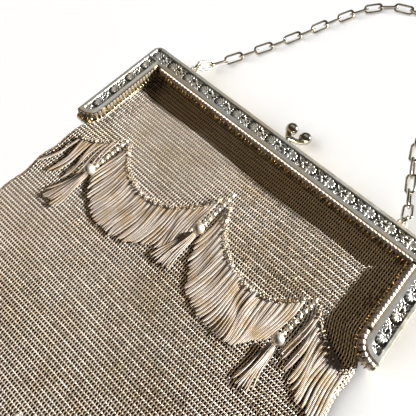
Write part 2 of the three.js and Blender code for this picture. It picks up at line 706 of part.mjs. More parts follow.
addPiece('frame_front', toGeometry(frameFront()), finishes.frame);
addPiece('frame_back', toGeometry(frameBack()), finishes.frame);
addPiece('hinge_pin_left', hingePin(-1), finishes.frame);
addPiece('hinge_pin_right', hingePin(1), finishes.frame);
addPiece('clasp_knob_front', toGeometry(claspKnob(1, FRONT_HALF_BASE + HALF_DEPTH / 2)), finishes.polished);
addPiece('clasp_knob_back', toGeometry(claspKnob(-1, HALF_DEPTH / 2)), finishes.polished);
addPiece('chain', toGeometry(chain()), finishes.polished);
addPiece('mesh_bag', toGeometry(meshBag()), finishes.mesh);
addGarland('upper', FIRST_PEAK);
addGarland('lower', FIRST_PEAK + GARLAND_STEP);

// The origin is the middle of the base of everything together.
const extent = new THREE.Box3().setFromObject(purse, true);
const middle = extent.getCenter(new THREE.Vector3());
purse.position.set(-middle.x, -middle.y, -extent.min.z);
purse.updateMatrixWorld(true);

export default purse;
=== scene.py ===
"""Ring-mesh purse with a relief frame, lying on its back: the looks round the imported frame."""

import logging
import math
from dataclasses import dataclass
from enum import Enum
from typing import Callable, Sequence

import bmesh
import bpy
import numpy as np
from mathutils import Matrix, Vector


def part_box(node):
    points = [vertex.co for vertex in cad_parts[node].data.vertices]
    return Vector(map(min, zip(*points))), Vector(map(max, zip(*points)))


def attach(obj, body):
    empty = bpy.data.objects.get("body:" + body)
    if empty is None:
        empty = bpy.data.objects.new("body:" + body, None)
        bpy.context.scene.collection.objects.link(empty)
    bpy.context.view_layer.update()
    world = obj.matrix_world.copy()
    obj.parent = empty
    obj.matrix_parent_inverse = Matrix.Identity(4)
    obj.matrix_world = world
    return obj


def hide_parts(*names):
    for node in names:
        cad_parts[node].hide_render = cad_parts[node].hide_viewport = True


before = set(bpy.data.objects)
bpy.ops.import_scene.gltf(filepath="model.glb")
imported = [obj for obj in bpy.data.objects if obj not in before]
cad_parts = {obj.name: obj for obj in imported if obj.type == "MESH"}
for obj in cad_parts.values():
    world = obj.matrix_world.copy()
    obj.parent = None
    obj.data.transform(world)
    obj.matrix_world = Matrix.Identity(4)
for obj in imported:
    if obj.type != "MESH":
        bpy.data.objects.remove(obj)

log = logging.getLogger("purse")
Piece = bpy.types.Object
Shape = bmesh.types.BMesh
Triple = tuple[float, float, float]
Line = Callable[[np.ndarray], np.ndarray]
MM = 0.001
BAR_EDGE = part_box("frame_back")[1].y / MM
CHANCE = np.random.default_rng(7)


class Slot(Enum):
    """The record's material slots."""

    FRAME = "frame_metal"
    POLISHED = "polished_metal"
    MESH = "ring_mesh"
    FRINGE = "fringe_metal"


def smoothstep(value: np.ndarray, low: float, high: float) -> np.ndarray:
    """A soft step from 0 at low to 1 at high."""
    t = np.clip((value - low) / (high - low), 0.0, 1.0)
    return t * t * (3 - 2 * t)


def together(values: np.ndarray, reach: float) -> np.ndarray:
    """Random values blended along their last axis, so that neighbours lie alike.

    Args:
        values: The random values.
        reach: How many neighbours a value is blended with.

    Returns:
        The blended values, in the same shape.
    """
    span = np.arange(-int(reach * 3), int(reach * 3) + 1)
    weight = np.exp(-0.5 * (span / reach) ** 2)
    weight /= weight.sum()
    padded = np.pad(values, [(0, 0)] * (values.ndim - 1) + [(len(span) // 2,) * 2], mode="reflect")
    return np.apply_along_axis(lambda line: np.convolve(line, weight, "valid"), -1, padded)


def coordinates(mesh: bpy.types.Mesh) -> np.ndarray:
    """The mesh's vertices as rows of three numbers.

    Args:
        mesh: The mesh.

    Returns:
        One row of x, y and z for each vertex.
    """
    flat = np.empty(len(mesh.vertices) * 3, np.float32)
    mesh.vertices.foreach_get("co", flat)
    return flat.reshape(-1, 3).astype(float)


def move_to(mesh: bpy.types.Mesh, points: np.ndarray) -> None:
    """Puts the mesh's vertices at these points."""
    mesh.vertices.foreach_set("co", np.asarray(points, np.float32).ravel())
    mesh.update()


def verts_of(parts: Sequence[object]) -> list[bmesh.types.BMVert]:
    """The vertices among the parts that an operator gave back."""
    return [part for part in parts if isinstance(part, bmesh.types.BMVert)]


def edges_of(parts: Sequence[object]) -> list[bmesh.types.BMEdge]:
    """The edges among the parts that an operator gave back."""
    return [part for part in parts if isinstance(part, bmesh.types.BMEdge)]


def edges_at(verts: Sequence[bmesh.types.BMVert]) -> list[bmesh.types.BMEdge]:
    """The edges that meet these vertices, each once and in a fixed order."""
    return list(dict.fromkeys(edge for vert in verts for edge in vert.link_edges))


def marked(mesh: bpy.types.Mesh, name: str, values: np.ndarray) -> None:
    """Writes a number for each vertex, which a material reads by this name."""
    layer = mesh.attributes.new(name, "FLOAT", "POINT")
    layer.data.foreach_set("value", values.astype(np.float32))


def as_object(name: str, bm: Shape, sharp: float = 50.0) -> Piece:
    """Turns a bmesh into a smooth object, and frees it.

    Args:
        name: The object's name.
        bm: The finished bmesh.
        sharp: Edges that bend by more than this many degrees stay hard.

    Returns:
        The linked object.
    """
    for face in bm.faces:
        face.smooth = True
    limit = math.radians(sharp)
    for edge in bm.edges:
        edge.smooth = edge.calc_face_angle(0.0) < limit
    mesh = bpy.data.meshes.new(name)
    bm.to_mesh(mesh)
    bm.free()
    piece = bpy.data.objects.new(name, mesh)
    bpy.context.scene.collection.objects.link(piece)
    return piece


def applied(piece: Piece) -> Piece:
    """Applies every modifier of a piece to its mesh.

    Args:
        piece: The piece.

    Returns:
        The same piece, with the result as its mesh.
    """
    bpy.context.view_layer.update()
    graph = bpy.context.evaluated_depsgraph_get()
    mesh = bpy.data.meshes.new_from_object(piece.evaluated_get(graph))
    old = piece.data
    piece.modifiers.clear()
    piece.data = mesh
    mesh.name = piece.name
    bpy.data.meshes.remove(old)
    return piece


def repeated(piece: Piece, runs: Sequence[tuple[int, Triple]]) -> Piece:
    """Repeats a piece by one applied Array modifier for each run.

    Args:
        piece: The piece to repeat.
        runs: The count and the constant offset of each run.

    Returns:
        The same piece, with its copies joined in its mesh one after another.
    """
    for count, offset in runs:
        array = piece.modifiers.new("array", "ARRAY")
        array.count = count
        array.use_relative_offset = False
        array.use_constant_offset = True
        array.constant_offset_displace = offset
    return applied(piece)


def ring_shape(radius: float, wire: float, around: int, sides: int, start: float = 0.0) -> Shape:
    """A closed wire ring in the XY plane, spun from its section.

    Args:
        radius: The radius of the wire's centre line.
        wire: The wire's radius.
        around: Steps round the ring.
        sides: Sides of the wire.
        start: Where the first section stands, as a share of a step.

    Returns:
        The ring as a bmesh.
    """
    bm = bmesh.new()
    turn = Matrix.Rotation(math.pi / 2, 4, "X")
    place = Matrix.Translation((radius, 0, 0)) @ turn
    bmesh.ops.create_circle(bm, segments=sides, radius=wire, matrix=place)
    bmesh.ops.spin(
        bm, geom=bm.verts[:] + bm.edges[:], cent=(0, 0, 0), axis=(0, 0, 1),
        angle=math.tau, steps=around, use_merge=True,
    )
    bmesh.ops.remove_doubles(bm, verts=bm.verts, dist=wire * 0.05)
    bmesh.ops.rotate(bm, verts=bm.verts, cent=(0, 0, 0),
                     matrix=Matrix.Rotation(math.tau / around * start, 3, "Z"))
    bmesh.ops.recalc_face_normals(bm, faces=bm.faces)
    return bm


def drawn_out(bm: Shape, reach: float) -> Shape:
    """Draws a ring out along X to a long loop.

    Args:
        bm: The ring.
        reach: How far each end moves out.

    Returns:
        The same bmesh.
    """
    for vert in bm.verts:
        vert.co.x += math.copysign(reach, vert.co.x)
    return bm


def swept(bm: Shape, path: Sequence[Vector], radii: Sequence[float], sides: int) -> None:
    """Draws a round section along a path, with closed ends.

    Args:
        bm: The bmesh that takes the tube.
        path: The points of the centre line.
        radii: The radius at each point.
        sides: Sides of the section.
    """
    def station(i: int) -> Matrix:
        """The section's place, turn and size at a point of the path."""
        ahead = path[min(i + 1, len(path) - 1)] - path[max(i - 1, 0)]
        turn = ahead.to_track_quat("Z", "Y").to_matrix().to_4x4()
        return Matrix.Translation(path[i]) @ turn @ Matrix.Scale(radii[i], 4)

    made = bmesh.ops.create_circle(bm, segments=sides, radius=1.0, cap_ends=True, matrix=station(0))
    edges = edges_at(made["verts"])
    for i in range(1, len(path)):
        grown = bmesh.ops.extrude_edge_only(bm, edges=edges)["geom"]
        edges = edges_of(grown)
        bmesh.ops.transform(bm, matrix=station(i) @ station(i - 1).inverted(), verts=verts_of(grown))
    bmesh.ops.edgeloop_fill(bm, edges=edges)
    bmesh.ops.recalc_face_normals(bm, faces=bm.faces)


def finish_piece(
    piece: Piece, materials: Sequence[bpy.types.Material], nodes: Sequence[str] = ()
) -> Piece:
    """Args:
        piece: The piece, in place.
        materials: The piece's materials, in the order of its face indices.
        nodes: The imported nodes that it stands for.

    Returns:
        The same piece.
    """
    piece.data.materials.clear()
    for material in materials:
        piece.data.materials.append(material)
    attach(piece, "root")
    if nodes:
        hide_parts(*nodes)
    log.info("%s: %d faces", piece.name, len(piece.data.polygons))
    return piece


class Recipe:
    """One procedural material, wired step by step on object coordinates in millimetres."""

    def __init__(self, name: str, roughness: float) -> None:
        """Starts a metal on object coordinates.

        Args:
            name: The material's name.
            roughness: How rough it is, from 0 to 1.
        """
        self.material = bpy.data.materials.new(name)
        self.material.use_nodes = True
        self.tree = self.material.node_tree
        self.shader = self.tree.nodes["Principled BSDF"]
        self.shader.inputs["Metallic"].default_value = 1.0
        self.shader.inputs["Roughness"].default_value = roughness
        place = self.tree.nodes.new("ShaderNodeTexCoord")
        scaled = self.tree.nodes.new("ShaderNodeMapping")
        scaled.inputs["Scale"].default_value = (1 / MM,) * 3
        self.tree.links.new(place.outputs["Object"], scaled.inputs["Vector"])
        self.place = scaled.outputs["Vector"]

    def math(self, operation: str, first: object, second: object = 0.0, third: object = 0.0) -> object:
        """One Math node; each input is a number or a socket.

        Args:
            operation: The node's operation.
            first: The first input.
            second: The second input.
            third: The third input, which few operations read.

        Returns:
            The value's socket.
        """
        node = self.tree.nodes.new("ShaderNodeMath")
        node.operation = operation
        for socket, value in zip(node.inputs, (first, second, third)):
            if isinstance(value, (int, float)):
                socket.default_value = value
            else:
                self.tree.links.new(value, socket)
        return node.outputs["Value"]

    def noise(self, size: float, detail: float = 2.0) -> object:
        """Soft random blotches.

        Args:
            size: The blotches' size in millimetres.
            detail: How much finer noise is added.

        Returns:
            The noise's socket.
        """
        node = self.tree.nodes.new("ShaderNodeTexNoise")
        node.inputs["Scale"].default_value = 1 / size
        node.inputs["Detail"].default_value = detail
        self.tree.links.new(self.place, node.inputs["Vector"])
        return node.outputs["Fac"]

    def spread(self, value: object, low: float, high: float, to_low: float = 0.0,
               to_high: float = 1.0) -> object:
        """The value stretched from one range to another, and held there.

        Args:
            value: The socket to stretch.
            low: The value that becomes to_low.
            high: The value that becomes to_high.
            to_low: The low end of the new range.
            to_high: The high end of the new range.

        Returns:
            The new value's socket.
        """
        node = self.tree.nodes.new("ShaderNodeMapRange")
        for name, number in (("From Min", low), ("From Max", high), ("To Min", to_low), ("To Max", to_high)):
            node.inputs[name].default_value = number
        self.tree.links.new(value, node.inputs["Value"])
        return node.outputs["Result"]

    def mixed(self, share: object, first: object, second: object) -> object:
        """Two colours mixed; each is a colour or a socket.

        Args:
            share: The second colour's share.
            first: The first colour.
            second: The second colour.

        Returns:
            The colour's socket.
        """
        node = self.tree.nodes.new("ShaderNodeMix")
        node.data_type = "RGBA"
        self.tree.links.new(share, node.inputs["Factor"])
        for socket, value in ((node.inputs[6], first), (node.inputs[7], second)):
            if isinstance(value, tuple):
                socket.default_value = (*value, 1.0)
            else:
                self.tree.links.new(value, socket)
        return node.outputs[2]

    def attribute(self, name: str) -> object:
        """A number that the mesh carries.

        Args:
            name: The name it is written under.

        Returns:
            The number's socket.
        """
        node = self.tree.nodes.new("ShaderNodeAttribute")
        node.attribute_name = name
        return node.outputs["Fac"]

    def parts(self) -> tuple[object, object, object]:
        """The place in millimetres, as three numbers.

        Returns:
            The sockets of x, y and z.
        """
        node = self.tree.nodes.new("ShaderNodeSeparateXYZ")
        self.tree.links.new(self.place, node.inputs["Vector"])
        return tuple(node.outputs)

    def bumped(self, height: object, depth: float) -> None:
        """Raises the surface where the height is great.

        Args:
            height: The height's socket.
            depth: The full depth in millimetres.
        """
        node = self.tree.nodes.new("ShaderNodeBump")
        node.inputs["Distance"].default_value = depth * MM
        self.tree.links.new(height, node.inputs["Height"])
        self.tree.links.new(node.outputs["Normal"], self.shader.inputs["Normal"])

    def set(self, name: str, value: object) -> None:
        """Wires a socket into the shader."""
        self.tree.links.new(value, self.shader.inputs[name])


@dataclass(frozen=True)
class WornSilver:
    """Nickel silver with slow patches of a warmer tone, fine wear, and a darkening read from a mesh
    attribute: patina in the frame's hollows, painted shade on the ring mesh and the strip.
    """

    name: str
    bright: Triple = (0.80, 0.79, 0.75)
    warm: Triple = (0.74, 0.66, 0.50)
    dark: Triple = (0.035, 0.03, 0.026)
    patch: float = 9.0
    warmth: float = 0.45
    roughness: float = 0.3
    grain: float = 0.03
    metallic: float = 1.0
    patina_and_shade: bool = False
    brass: Triple = (0.56, 0.44, 0.22)
    ribs: float = 0.0
    rib_depth: float = 0.0

    def material(self) -> bpy.types.Material:
        """Builds the node material.

        Returns:
            The material.
        """
        recipe = Recipe(self.name, self.roughness)
        recipe.shader.inputs["Metallic"].default_value = self.metallic
        patches = recipe.spread(recipe.noise(self.patch, 3.0), 0.42, 0.68, 0.0, self.warmth * 2)
        colour = recipe.mixed(patches, self.bright, self.warm)
        wear = recipe.spread(recipe.noise(0.9, 4.0), 0.3, 0.75, 0.0, 0.35)
        colour = recipe.mixed(wear, colour, tuple(0.45 * part for part in self.warm))
        if self.patina_and_shade:
            rubbed = recipe.spread(recipe.noise(5.0), 0.35, 0.6, 0.3)
            edge = recipe.math("MULTIPLY", recipe.attribute("edge"), rubbed)
            colour = recipe.mixed(edge, colour, self.brass)
            # Darkening towards the dark colour: patina in the frame's hollows, painted shade on the ring
            # mesh's side edges, beside the arms and on the strip's left-arm cells.
            depth = recipe.attribute("patina_and_shade")
            colour = recipe.mixed(recipe.spread(depth, 0.45, 1.0), colour, self.dark)
        recipe.set("Base Color", colour)
        smear = recipe.spread(recipe.noise(3.0, 4.0), 0.3, 0.7, self.roughness * 0.8, self.roughness * 1.35)
        recipe.set("Roughness", smear)
        height = recipe.noise(0.35, 3.0)
        depth = self.grain
        if self.ribs:
            along = recipe.parts()[1]
            ribs = recipe.math("SINE", recipe.math("MULTIPLY", along, math.tau / self.ribs))
            height = recipe.math("MULTIPLY_ADD", ribs, self.rib_depth / self.grain, height)
        recipe.bumped(height, depth)
        return recipe.material


@dataclass(frozen=True)
class PaintedShadeUnderside:
    """Warm metal painted dark as the shade inside the bag, with the rings of the mesh as raised wires and
    painted shade in the gaps between them.
    """

    name: str
    # Both colours are painted shade: the wires stand for the bag's back in shade, and the gap colour for the
    # shade between the rings.
    wire: Triple = (0.10, 0.075, 0.05)
    gap: Triple = (0.015, 0.011, 0.008)
    pitch: float = 1.1
    row: float = 1.55
    roughness: float = 0.5

    def material(self) -> bpy.types.Material:
        """Builds the node material.

        Returns:
            The material.
        """
        recipe = Recipe(self.name, self.roughness)
        across, along, _ = recipe.parts()
        rows = recipe.math("DIVIDE", along, self.row)
        odd = recipe.math("PINGPONG", recipe.math("FLOOR", rows), 1.0)
        columns = recipe.math("MULTIPLY_ADD", odd, 0.5, recipe.math("DIVIDE", across, self.pitch))
        u = recipe.math("SUBTRACT", recipe.math("FRACT", columns), 0.5)
        v = recipe.math("SUBTRACT", recipe.math("FRACT", rows), 0.5)
        reach = recipe.math("POWER", recipe.math("ADD", recipe.math("MULTIPLY", u, u),
                                                 recipe.math("MULTIPLY", v, v)), 0.5)
        wire = recipe.math("ABSOLUTE", recipe.math("SUBTRACT", reach, 0.42))
        height = recipe.spread(wire, 0.02, 0.2, 1.0, 0.0)
        recipe.set("Base Color", recipe.mixed(height, self.gap, self.wire))
        recipe.bumped(height, 0.25)
        return recipe.material


@dataclass(frozen=True)
class BagSheet:
    """The bag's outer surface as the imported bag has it; millimetres, y from the bar's outer edge."""

    half_width: float = 79.3
    mouth_half: float = 73.35
    mouth_y: float = -10.2
    foot_y: float = -203.2
    thickness: float = 7.0
    edge_round: float = 3.2
    tucked_round: float = 0.6
    rise: float = 0.55
    rise_run: float = 12.0
    billow: float = 0.25
    billow_length: float = 74.0
    flare_start: float = 46.5
    flare_length: float = 12.0
    edge_wave: float = 0.35
    arm_length: float = 53.5
    tip_curve: float = 8.5

    def height(self, x: np.ndarray, y: np.ndarray) -> np.ndarray:
        """The height of the front sheet.

        Args:
            x: Places across the bag.
            y: Places along the bag.

        Returns:
            The height over the ground.
        """
        turn = math.tau / self.billow_length
        by_bar = 1 - smoothstep(self.mouth_y - y, 0, self.rise_run)
        by_arm = 1 - smoothstep(self.mouth_half - np.abs(x), 0, self.rise_run)
        beside_arm = 1 - smoothstep(-y, self.arm_length - self.tip_curve, self.arm_length)
        rise = self.rise * np.maximum(by_bar, by_arm * beside_arm)
        return self.thickness + rise + self.billow * np.sin(x * turn + 1) * np.sin(y * turn * 0.8)

    def flared(self, y: np.ndarray) -> np.ndarray:
        """How far the sides have flared, from 0 between the arms to 1."""
        return smoothstep(-y, self.flare_start, self.flare_start + self.flare_length)

    def quarter(self, radius: np.ndarray) -> np.ndarray:
        """The length of a quarter of the side's round."""
        return math.pi / 2 * np.sqrt((radius ** 2 + (self.thickness / 2) ** 2) / 2)

    def half_girth(self) -> float:
        """From the middle of the front round to the side's outermost line."""
        return self.half_width - self.edge_round + float(self.quarter(np.array(self.edge_round)))

    def place(self, s: np.ndarray, v: np.ndarray) -> np.ndarray:
        """Points of the surface.

        Args:
            s: The way round the bag from the middle of the front.
            v: The way along the bag, which is y until the foot curves down.

        Returns:
            Rows of x, y and z in millimetres.
        """
        turn_start = self.foot_y + self.edge_round
        down = np.clip((turn_start - v) / self.quarter(np.array(self.edge_round)), 0, 1) * math.pi / 2
        y = np.where(v < turn_start, turn_start - self.edge_round * np.sin(down), v)
        share = self.flared(y)
        wave = self.edge_wave * share * (np.sin(y / 2.7) + 0.8 * np.sin(y / 4.3 + 1))
        half = self.mouth_half + (self.half_width - self.mouth_half) * share + wave
        radius = self.tucked_round + (self.edge_round - self.tucked_round) * share
        straight = half - radius
        quarter = self.quarter(radius)
        s = s * (straight + quarter) / self.half_girth()
        turn = np.clip((np.abs(s) - straight) / quarter, 0, 2) * math.pi / 2
        x = np.sign(s) * np.where(np.abs(s) < straight, np.abs(s), straight + radius * np.sin(turn))
        top = self.height(x, y)
        z = top * (np.cos(turn) + 1) / 2
        middle = self.thickness / 2
        z = middle + (z - middle) * np.cos(down)
        return np.stack([x, y, z], -1)

    def lifted(self, s: np.ndarray, v: np.ndarray, lift: np.ndarray) -> np.ndarray:
        """Points off the surface along its normal.

        Args:
            s: The way round the bag from the middle of the front.
            v: The way along the bag.
            lift: How far each point lies off the surface.

        Returns:
            Rows of x, y and z in millimetres.
        """
        step = 0.05
        here = self.place(s, v)
        normal = np.cross(self.place(s + step, v) - here, self.place(s, v + step) - here)
        normal /= np.maximum(np.linalg.norm(normal, axis=-1, keepdims=True), 1e-9)
        return here + normal * np.asarray(lift)[..., None]

    def on_top(self, x: np.ndarray, y: np.ndarray, above: np.ndarray) -> np.ndarray:
        """Points this far above the front sheet, as rows in millimetres."""
        return np.stack([x, y, self.height(x, y) + above], -1)


def to_row_frame(points: np.ndarray) -> np.ndarray:
    """Millimetres from the bar's outer edge, as metres in the row frame."""
    return (points + np.array([0.0, BAR_EDGE, 0.0])) * MM


def brought_home(bm: Shape) -> None:
    """Moves a shape that is drawn in millimetres from the bar to the row frame."""
    for vert in bm.verts:
        vert.co = to_row_frame(np.array(vert.co))


@dataclass(frozen=True)
class RingMesh:
    """The bag: linked rings on its front and sides, over a closed layer painted dark as shade."""

    sheet: BagSheet
    pitch: float = 1.165
    row: float = 1.6
    slack_row: float = 0.18
    slack_run: tuple[float, float] = (45.0, 85.0)
    ring_radius: float = 0.59
    ring_height: float = 0.92
    wire: float = 0.215
    leans: tuple[float, float] = (22.0, 14.0)
    around: int = 6
    sides: int = 3
    layer: float = -0.55
    lining: float = -1.15
    wrap: float = 1.6
    stray: float = 0.025
    # Widths of painted shade: along both side edges, and beside the arms.
    painted_shade_side: float = 5.5
    painted_shade_run: float = 14.0
    panels: int = 4
    lining_cells: tuple[int, int] = (64, 60)
    wall: float = 0.4

    def build(self) -> list[Piece]:
        """Makes the lining and the panels of rings.

        Returns:
            The lining, and then the panels from the bar to the foot.
        """
        sheet = self.sheet
        rows = self.rows()
        reach = sheet.half_girth() + float(sheet.quarter(np.array(sheet.edge_round))) * (self.wrap - 1)
        columns = int(2 * reach / self.pitch)
        cuts = np.linspace(0, len(rows) // 2, self.panels + 1).round().astype(int)
        panels = [
            self.panel(f"ring_mesh_panel_{i + 1}", columns, rows, int(a), int(b - a))
            for i, (a, b) in enumerate(zip(cuts[:-1], cuts[1:]))
        ]
        return [self.under_layer(), *panels]

    def rows(self) -> np.ndarray:
        """Where each row lies along the bag; the rows near the bar hang a little further apart.

        Returns:
            The y of each row, from the bar to the foot.
        """
        sheet = self.sheet
        foot = sheet.foot_y + sheet.edge_round - float(sheet.quarter(np.array(sheet.edge_round)))
        places = [sheet.mouth_y - self.row * 0.4]
        while places[-1] > foot:
            hang = 1 - float(smoothstep(np.array(-places[-1]), *self.slack_run))
            places.append(places[-1] - self.row - self.slack_row * hang)
        return np.array(places)

    def ring_pair(self) -> Shape:
        """One ring of a row and one of the next, which leans a little less.

        Returns:
            The two rings as a bmesh.
        """
        bm = ring_shape(self.ring_radius, self.wire, self.around, self.sides, 0.5)
        for vert in bm.verts:
            vert.co.y += math.copysign(self.ring_height - self.ring_radius, vert.co.y)
        first = bm.verts[:]
        second = verts_of(bmesh.ops.duplicate(bm, geom=bm.verts[:] + bm.edges[:] + bm.faces[:])["geom"])
        for verts, lean in zip((first, second), self.leans):
            bmesh.ops.rotate(bm, verts=verts, matrix=Matrix.Rotation(math.radians(lean), 3, "Y"))
        bmesh.ops.translate(bm, verts=second, vec=(0, -self.row, 0))
        return bm

    def panel(self, name: str, columns: int, rows: np.ndarray, first: int, pairs: int) -> Piece:
        """One panel of rings, laid on the sheet.

        Args:
            name: The panel's name.
            columns: Rings in a row.
            rows: Where each row lies along the bag.
            first: The first pair of rows, counted from the bar.
            pairs: How many pairs of rows it has.

        Returns:
            The panel.
        """
        piece = as_object(name, self.ring_pair(), 180.0)
        per_pair = len(piece.data.vertices)
        repeated(piece, [(columns, (self.pitch, 0, 0)), (pairs, (0, -2 * self.row, 0))])
        local = coordinates(piece.data)
        s = local[:, 0] - (columns - 1) * self.pitch / 2
        row = first * 2 - local[:, 1] / self.row
        v = np.interp(row, np.arange(len(rows)), rows) - np.minimum(row, 0) * self.row
        jitter = CHANCE.normal(0, self.stray, (len(local) // (per_pair // 2), 3)).repeat(per_pair // 2, 0)
        s = s + jitter[:, 0] + 0.3 * np.sin(v / 17.0) * np.cos(s / 60.0)
        v = v + jitter[:, 1] + 0.3 * np.sin(s / 19.0 + v / 40.0)
        move_to(piece.data, to_row_frame(self.sheet.lifted(s, v, local[:, 2] + self.layer + jitter[:, 2])))
        # Painted shade: rings darkened near both side edges, against the key light on the right edge, and in
        # patches beside the arms, deepening the frame's shadow.
        side = smoothstep(np.abs(s), self.sheet.half_girth() - self.painted_shade_side, self.sheet.half_girth() - 1.0)
        by_arm = smoothstep(np.abs(s), self.sheet.mouth_half - self.painted_shade_run, self.sheet.mouth_half)
        by_arm *= 1 - self.sheet.flared(v)
        across, down = s * 1.1 + 2.0 * np.sin(v * 0.55), v * 0.8 + 1.5 * np.sin(s * 0.7)
        blotch = 0.5 + 0.5 * np.sin(across) * np.sin(down)
        marked(piece.data, "patina_and_shade", np.maximum(side, by_arm * blotch))
        return piece

    def under_layer(self) -> Piece:
        """The closed layer under the rings: front and back welded at the sides and the foot.

        Returns:
            The layer, a thin sheet with two walls.
        """
        sheet = self.sheet
        bm = bmesh.new()
        bmesh.ops.create_grid(bm, x_segments=self.lining_cells[0], y_segments=self.lining_cells[1], size=1.0)
        front = bm.verts[:]
        grid = np.array([vert.co[:] for vert in front])
        foot = sheet.foot_y + sheet.edge_round - float(sheet.quarter(np.array(sheet.edge_round)))
        s = np.sin(grid[:, 0] * math.pi / 2) * sheet.half_girth()
        v = foot + (sheet.mouth_y - foot) * (grid[:, 1] + 1) / 2
        top = sheet.place(s, v)
        level = top[:, 2] / sheet.height(top[:, 0], top[:, 1]) * 2 - 1
        lowered = sheet.lifted(s, v, self.lining * level)
        back = verts_of(bmesh.ops.duplicate(bm, geom=bm.verts[:] + bm.edges[:] + bm.faces[:])["geom"])
        behind = set(back)
        bmesh.ops.reverse_faces(bm, faces=[face for face in bm.faces if face.verts[0] in behind])
        edge = np.isclose(np.abs(grid[:, 0]), 1) | np.isclose(grid[:, 1], -1)
        under = np.column_stack([top[:, :2], sheet.height(top[:, 0], top[:, 1]) - top[:, 2]])
        under[:, 2] = np.where(edge, lowered[:, 2], np.maximum(under[:, 2], 0.05))
        under[edge] = lowered[edge]
        for verts, places in ((front, lowered), (back, under)):
            for vert, place in zip(verts, to_row_frame(places)):
                vert.co = place
        bmesh.ops.remove_doubles(bm, verts=bm.verts, dist=0.02 * MM)
        bmesh.ops.recalc_face_normals(bm, faces=bm.faces)
        piece = as_object("mesh_bag_body", bm, 80.0)
        wall = piece.modifiers.new("wall", "SOLIDIFY")
        wall.thickness = self.wall * MM
        wall.offset = -1
        return applied(piece)

    def dress(self, pieces: list[Piece]) -> None:
        """Args:
            pieces: What build returned.
        """
        lining, *panels = pieces
        # Its dark colour is the painted shade at the bag's side edges and beside the arms.
        rings = WornSilver(
            "ring_wire", (0.88, 0.82, 0.75), (0.76, 0.65, 0.50), (0.24, 0.21, 0.17), patch=14.0, warmth=0.35,
            roughness=0.42, grain=0.02, metallic=0.75, patina_and_shade=True,
        ).material()
        # The layer under the rings is painted dark as shade.
        under = PaintedShadeUnderside("painted_shade_underside").material()
        finish_piece(lining, [under], ["mesh_bag"])
        for panel in panels:
            finish_piece(panel, [rings])
        flat = (4 * self.sheet.half_girth() * MM, (self.sheet.mouth_y - self.sheet.foot_y) * MM)


